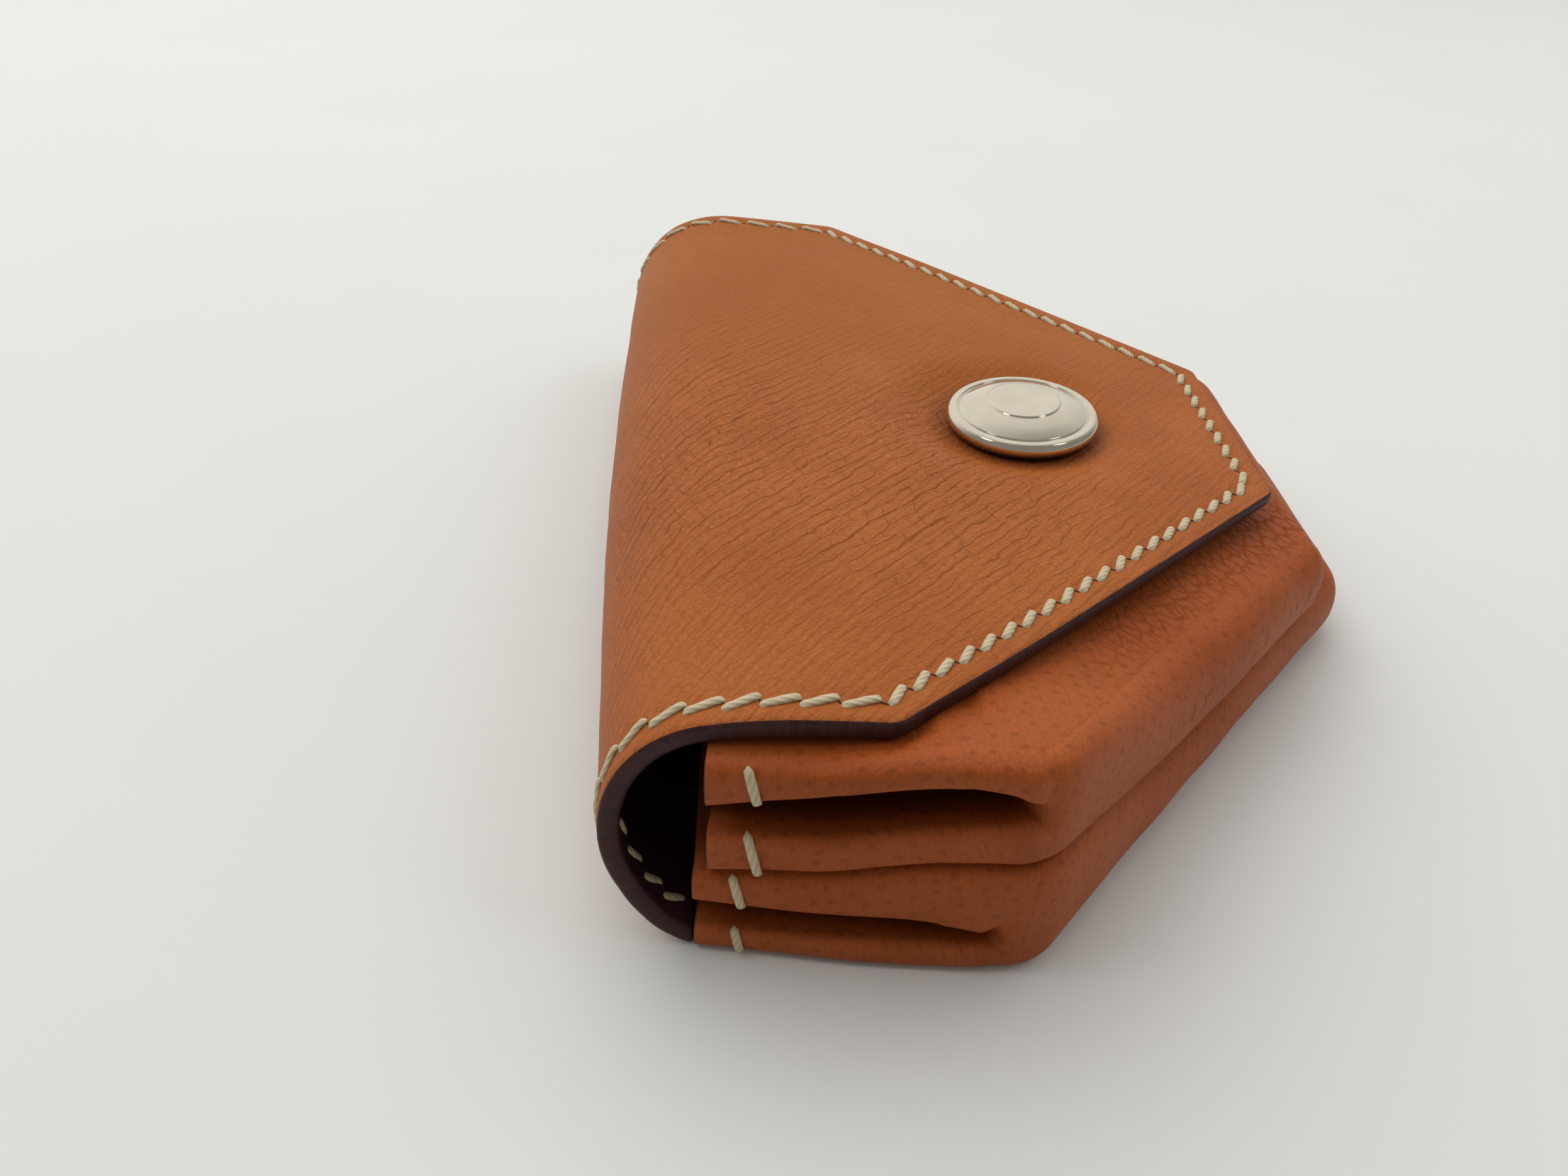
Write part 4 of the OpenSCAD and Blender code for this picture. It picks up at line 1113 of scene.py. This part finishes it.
def pouch_piece(name, p):
    """A pouch: its two panels, its side walls and its front, as one sheet."""
    rows, front = pouch_stations(p, 1)
    near_rows, _ = pouch_stations(p, -1)
    mirror = np.array([-1, 1])
    front_rows = front + [(at * mirror, v * mirror, *rest) for at, v, *rest in reversed(front[:-1])]
    far_wall, front_wall = (np.array([wall_points(r, 1) for r in lot]) for lot in (rows, front_rows))
    near_wall = np.array([wall_points(r, -1) for r in near_rows])
    spread = front_wall[:, 0, 0] / front_wall[0, 0, 0]
    last = ramp(np.arange(len(rows)), len(rows) - FRONT_ROWS, len(rows) - 1)[:, None]
    skin = Skin()
    for edge, apart in ((0, 0), (-1, PANELS_APART)):
        side, end = far_wall[:, edge], front_wall[:, edge]
        panel = np.empty((len(rows), len(spread), 3))
        panel[..., 0] = side[:, None, 0] * spread[None, :]
        panel[..., 1] = side[:, None, 1] + last * (end[:, 1] - end[0, 1])[None, :]
        panel[..., 2] = panel_z(p, edge == 0, panel[..., 0], panel[..., 1])
        if edge == 0:
            panel[..., 2] -= far_drop(p, panel[..., 0], panel[..., 1])
        panel[:, 0], panel[:, -1] = side, near_wall[:, edge]
        panel[-1] = end
        skin.grid(settle(panel), panel[..., :2] + np.array([0, apart]))
    for sign, wall, lot in ((1, far_wall, rows), (-1, near_wall, near_rows)):
        fold = np.array([r[3] for r in lot])
        skin.grid(settle(wall), unrolled(wall, lot, sign), fold=fold, pucker=pucker(p, wall))
    skin.grid(settle(front_wall), unrolled(front_wall, front_rows, 1), pucker=pucker(p, front_wall))
    centre = settle(np.array([0.0, 30.0, float(ceil_z(p, 30.0))]))
    mesh = clean(skin.mesh(name), (world(centre), UP))
    thicken(mesh, pouch_thickness, 1, 2, POUCH_BULGE)
    return add(name, mesh, [POUCH_LEATHER, EDGE, LINING])


# The lining's lip on the floor of the lower pouch

LIP_BACK, LIP_FRONT, LIP_Z, LIP_T, LIP_BULGE = -1.6, 6.0, 2.0, 0.7, 0.1
LIP_ROW_D, LIP_ROW_Z, LIP_ROW_INSET = 4.0, 2.05, 1.5


def lip_piece(name):
    x = np.linspace(-INNER_REACH, INNER_REACH, 90)[None, :]
    d = np.linspace(LIP_BACK, LIP_FRONT, 20)[:, None]
    points = np.stack(np.broadcast_arrays(x, d, LIP_Z + 0.05 * noise(x / 6, d / 4, 31)), -1)
    skin = Skin()
    skin.grid(points, points[..., :2])
    mesh = clean(skin.mesh(name), (world((0.0, 2.0, LIP_Z)), UP))
    thicken(mesh, lambda co: LIP_T, 1, 0, LIP_BULGE)
    return add(name, mesh, [LINING, EDGE])


# The cap of the press stud

CAP_TILT = math.radians(-1.0)
CAP_AXIS = np.array([0, math.sin(CAP_TILT), math.cos(CAP_TILT)])
CAP_SEAT = np.array([SNAP_X, 33.9, 19.1])
CAP_SEGMENTS = 128
# From the middle of the face over two grooves and the rim to the hollow post: (radius, height, rounding)
CAP_LINE = ((0.0, 3.46, 0), (3.75, 3.40, 0.12), (3.93, 3.22, 0.06), (4.06, 3.19, 0.06), (4.20, 3.26, 0.10),
            (5.6, 2.80, 1.2), (6.72, 2.22, 0.08), (6.80, 2.08, 0.05), (6.92, 2.06, 0.05), (7.04, 2.22, 0.14),
            (7.7, 2.24, 0.38), (8.18, 1.62, 0.55), (8.02, 0.86, 0.4), (7.66, 0.5, 0.15), (7.6, 0.08, 0.05),
            (7.1, 0.08, 0.05), (7.1, 0.5, 0.05), (3.0, 0.5, 0.05), (3.0, -0.6, 0.08), (2.4, -0.6, 0.08),
            (2.4, 1.6, 0.1), (0.0, 1.6, 0))


def rounded(line, steps=5):
    """A line of points with its corners rounded."""
    points = np.array(line)[:, :2]
    made = [points[0]]
    for p, q, r, (_, _, size) in zip(points, points[1:], points[2:], line[1:]):
        u, v = p - q, r - q
        cut = min(size, 0.45 * np.linalg.norm(u), 0.45 * np.linalg.norm(v))
        a, b = q + unit(u) * cut, q + unit(v) * cut
        made += [(1 - t) ** 2 * a + 2 * t * (1 - t) * q + t * t * b for t in np.linspace(0, 1, steps)]
    return np.array(made + [points[-1]])


def cap_piece(name):
    """The line of the cap turned round its axis."""
    profile = rounded(CAP_LINE)
    turn = np.linspace(0, 2 * math.pi, CAP_SEGMENTS + 1)
    axis = unit(CAP_AXIS)
    side = unit(np.cross(axis, np.array([1.0, 0, 0])))
    ring = np.cos(turn)[:, None] * side + np.sin(turn)[:, None] * np.cross(axis, side)
    points = CAP_SEAT + profile[None, :, :1] * ring[:, None, :] + profile[None, :, 1:] * axis
    uv = np.stack(np.broadcast_arrays(turn[:, None] * 8, run_length(profile)[None, :]), -1)
    skin = Skin()
    skin.grid(points, uv)
    return add(name, clean(skin.mesh(name), dissolve=True), [METAL])


# The pieces and the bodies they ride on. A bend is (two bodies, where it starts and where it ends, in d and
# z), but a piece given a bend is only baked in place.

SPINE_BLEND = ("base", "spine", (-4.0, -2.0), (-8.0, 11.2))
FLAP_BLEND = ("spine", "flap", (-8.0, 11.6), (-4.0, 24.8))
LOWER_BLEND = ("base", "divider", (30.0, 1.2), (30.05, 7.0))
UPPER_BLEND = ("divider", "top", (30.0, 10.1), (30.34, 16.6))
TOP_ROW_HALF = 50.0
ROW_D = UPPER["a"][1] + MOUTH_INSET


def fit(obj, motion, slot, *nodes):
    """Attaches a piece to the body it rides on, or, when it is given a bend, only bakes its place, and hides
    the nodes it replaces. The slot is not used.
    """
    if isinstance(motion, str):
        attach(obj, motion)
    else:
        a, b, start, end = motion
        world((0.0, *start))
        world((0.0, *end))
        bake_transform(obj)
    if nodes:
        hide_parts(*nodes)


def top_place(x):
    return settle(np.array([x, ROW_D, float(panel_z(UPPER, True, x, ROW_D))]))


def divider_place(x):
    return np.array([x, ROW_D, float(floor_z(UPPER, ROW_D)) + POUCH_T])


def lip_place(x):
    return np.array([x, LIP_ROW_D, LIP_ROW_Z])


fit(shell_piece("shell_back", back_lines(), arc_s(60), (0, 1, 0), False), SPINE_BLEND, "leather",
    "back_leather", "spine_leather", "spine_lining")
fit(shell_piece("shell_flap", flap_lines(), flap_s(45.0), (0, 0, 1), True), FLAP_BLEND, "leather",
    "flap_leather", "flap_lining")

edge_rows = shell_stitches()
back_rows = [[item for s, item in row if s < SEAM_S] for row in edge_rows]
flap_rows = [[item for s, item in row if s >= SEAM_S] for row in edge_rows]
fit(sew("shell_back_stitches", *back_rows), SPINE_BLEND, "thread", "back_stitching", "spine_stitching")
fit(sew("shell_flap_stitches", *flap_rows), FLAP_BLEND, "thread", "flap_stitching")

fit(pouch_piece("lower_pouch", LOWER), LOWER_BLEND, "leather", "lower_bottom_panel", "lower_fold",
    "lower_gusset_left", "lower_gusset_right", "lower_top_panel")
fit(pouch_piece("upper_pouch", UPPER), UPPER_BLEND, "leather", "upper_bottom_panel", "upper_fold",
    "upper_gusset_left", "upper_gusset_right", "upper_top_panel")

lower_rows, upper_rows = (mouth_stitches(p, -1) + mouth_stitches(p, 1) for p in (LOWER, UPPER))
upper_rows += flat_row(TOP_ROW_HALF, top_place)
fit(sew("lower_pouch_stitches", lower_rows), LOWER_BLEND, "thread")
fit(sew("upper_pouch_stitches", upper_rows), UPPER_BLEND, "thread", "upper_mouth_stitching")
fit(sew("divider_stitches", flat_row(INNER_REACH, divider_place)), "divider", "thread", "divider_stitching")

fit(lip_piece("lining_lip"), "base", "lining", "back_lining")
lip_rows = flat_row(INNER_REACH - LIP_ROW_INSET, lip_place)
fit(sew("lower_mouth_stitches", lip_rows), "base", "thread", "lower_mouth_stitching")

fit(cap_piece("snap_cap_face"), "flap", "metal", "snap_cap")
for name in ("snap_socket", "snap_spring", "snap_stud", "snap_rivet"):
    node = frame["nodes"][name]
    node.data.materials.clear()
    node.data.materials.append(INNER_METAL)
    for polygon in node.data.polygons:
        polygon.use_smooth = False

# Floor and sky
FLOOR_SIZE, FLOOR_Z = 3.0, -0.0001
SKY_COLOR, SKY_BRIGHT_SIDE = (1.0, 0.99, 0.955), Vector((0.90, 0.12, 0.42)).normalized()

bpy.ops.mesh.primitive_plane_add(size=FLOOR_SIZE, location=(0, 0, FLOOR_Z))
floor = bpy.context.object
floor.name = "floor"
pale = new_material("pale_floor")
mottled = pale.map(pale.noise(pale.coordinates("Object"), 14.0, 4.0), 0.3, 0.7)
pale.surface(pale.mix(mottled, (0.760, 0.765, 0.742), (0.772, 0.777, 0.754)), 0.75, 0.2)
floor.data.materials.append(pale.owner)

scene = bpy.context.scene
scene.view_settings.view_transform = "Standard"
sky = Shader(bpy.data.worlds.new("soft_sky"))
scene.world = sky.owner
facing = sky.vector("DOT_PRODUCT", sky.coordinates("Generated"), SKY_BRIGHT_SIDE)["Value"]
background = sky.tree.nodes["Background"]
sky.feed(background.inputs["Color"], SKY_COLOR)
sky.feed(background.inputs["Strength"], sky.map(facing, 0.20, 0.95, 0.25, 0.82))


# Lamps

def area(name, place, target, size, power, mirrored=False):
    lamp = bpy.data.lights.new(name, "AREA")
    lamp.shape = "DISK"
    lamp.size = size
    lamp.energy = power
    obj = bpy.data.objects.new(name, lamp)
    scene.collection.objects.link(obj)
    obj.visible_glossy = mirrored
    obj.location = place
    obj.rotation_mode = "QUATERNION"
    obj.rotation_quaternion = (Vector(target) - Vector(place)).to_track_quat("-Z", "Y")


area("key", (0.28, 0.26, 0.56), (0, 0, 0), 1.1, 3.8)
area("side", (0.12, -0.50, 0.34), (0, 0, 0.01), 0.8, 0.95)
area("left_glint", (-0.06, 0.33, 0.50), (0, 0, 0.02), 0.14, 0.10, True)
area("right_glint", (-0.06, -0.33, 0.50), (0, 0, 0.02), 0.14, 0.10, True)

# Camera
SENSOR, LENS = 36.0, 26.95
CAMERA_PLACE = (-0.1131, 0.024365, 0.08114)
forward = Vector((0.7987, -0.0258, -0.6012)).normalized()
right = Vector((-0.0173, -0.9997, 0.0198))
right = (right - forward * right.dot(forward)).normalized()
turn = Matrix((right, right.cross(forward), -forward)).transposed().to_4x4()

camera_data = bpy.data.cameras.new("camera")
camera_data.sensor_width = SENSOR
camera_data.lens = LENS
camera_data.clip_start = 0.005
camera_data.clip_end = 20.0
camera = bpy.data.objects.new("camera", camera_data)
scene.collection.objects.link(camera)
camera.matrix_world = Matrix.Translation(CAMERA_PLACE) @ turn
scene.camera = camera
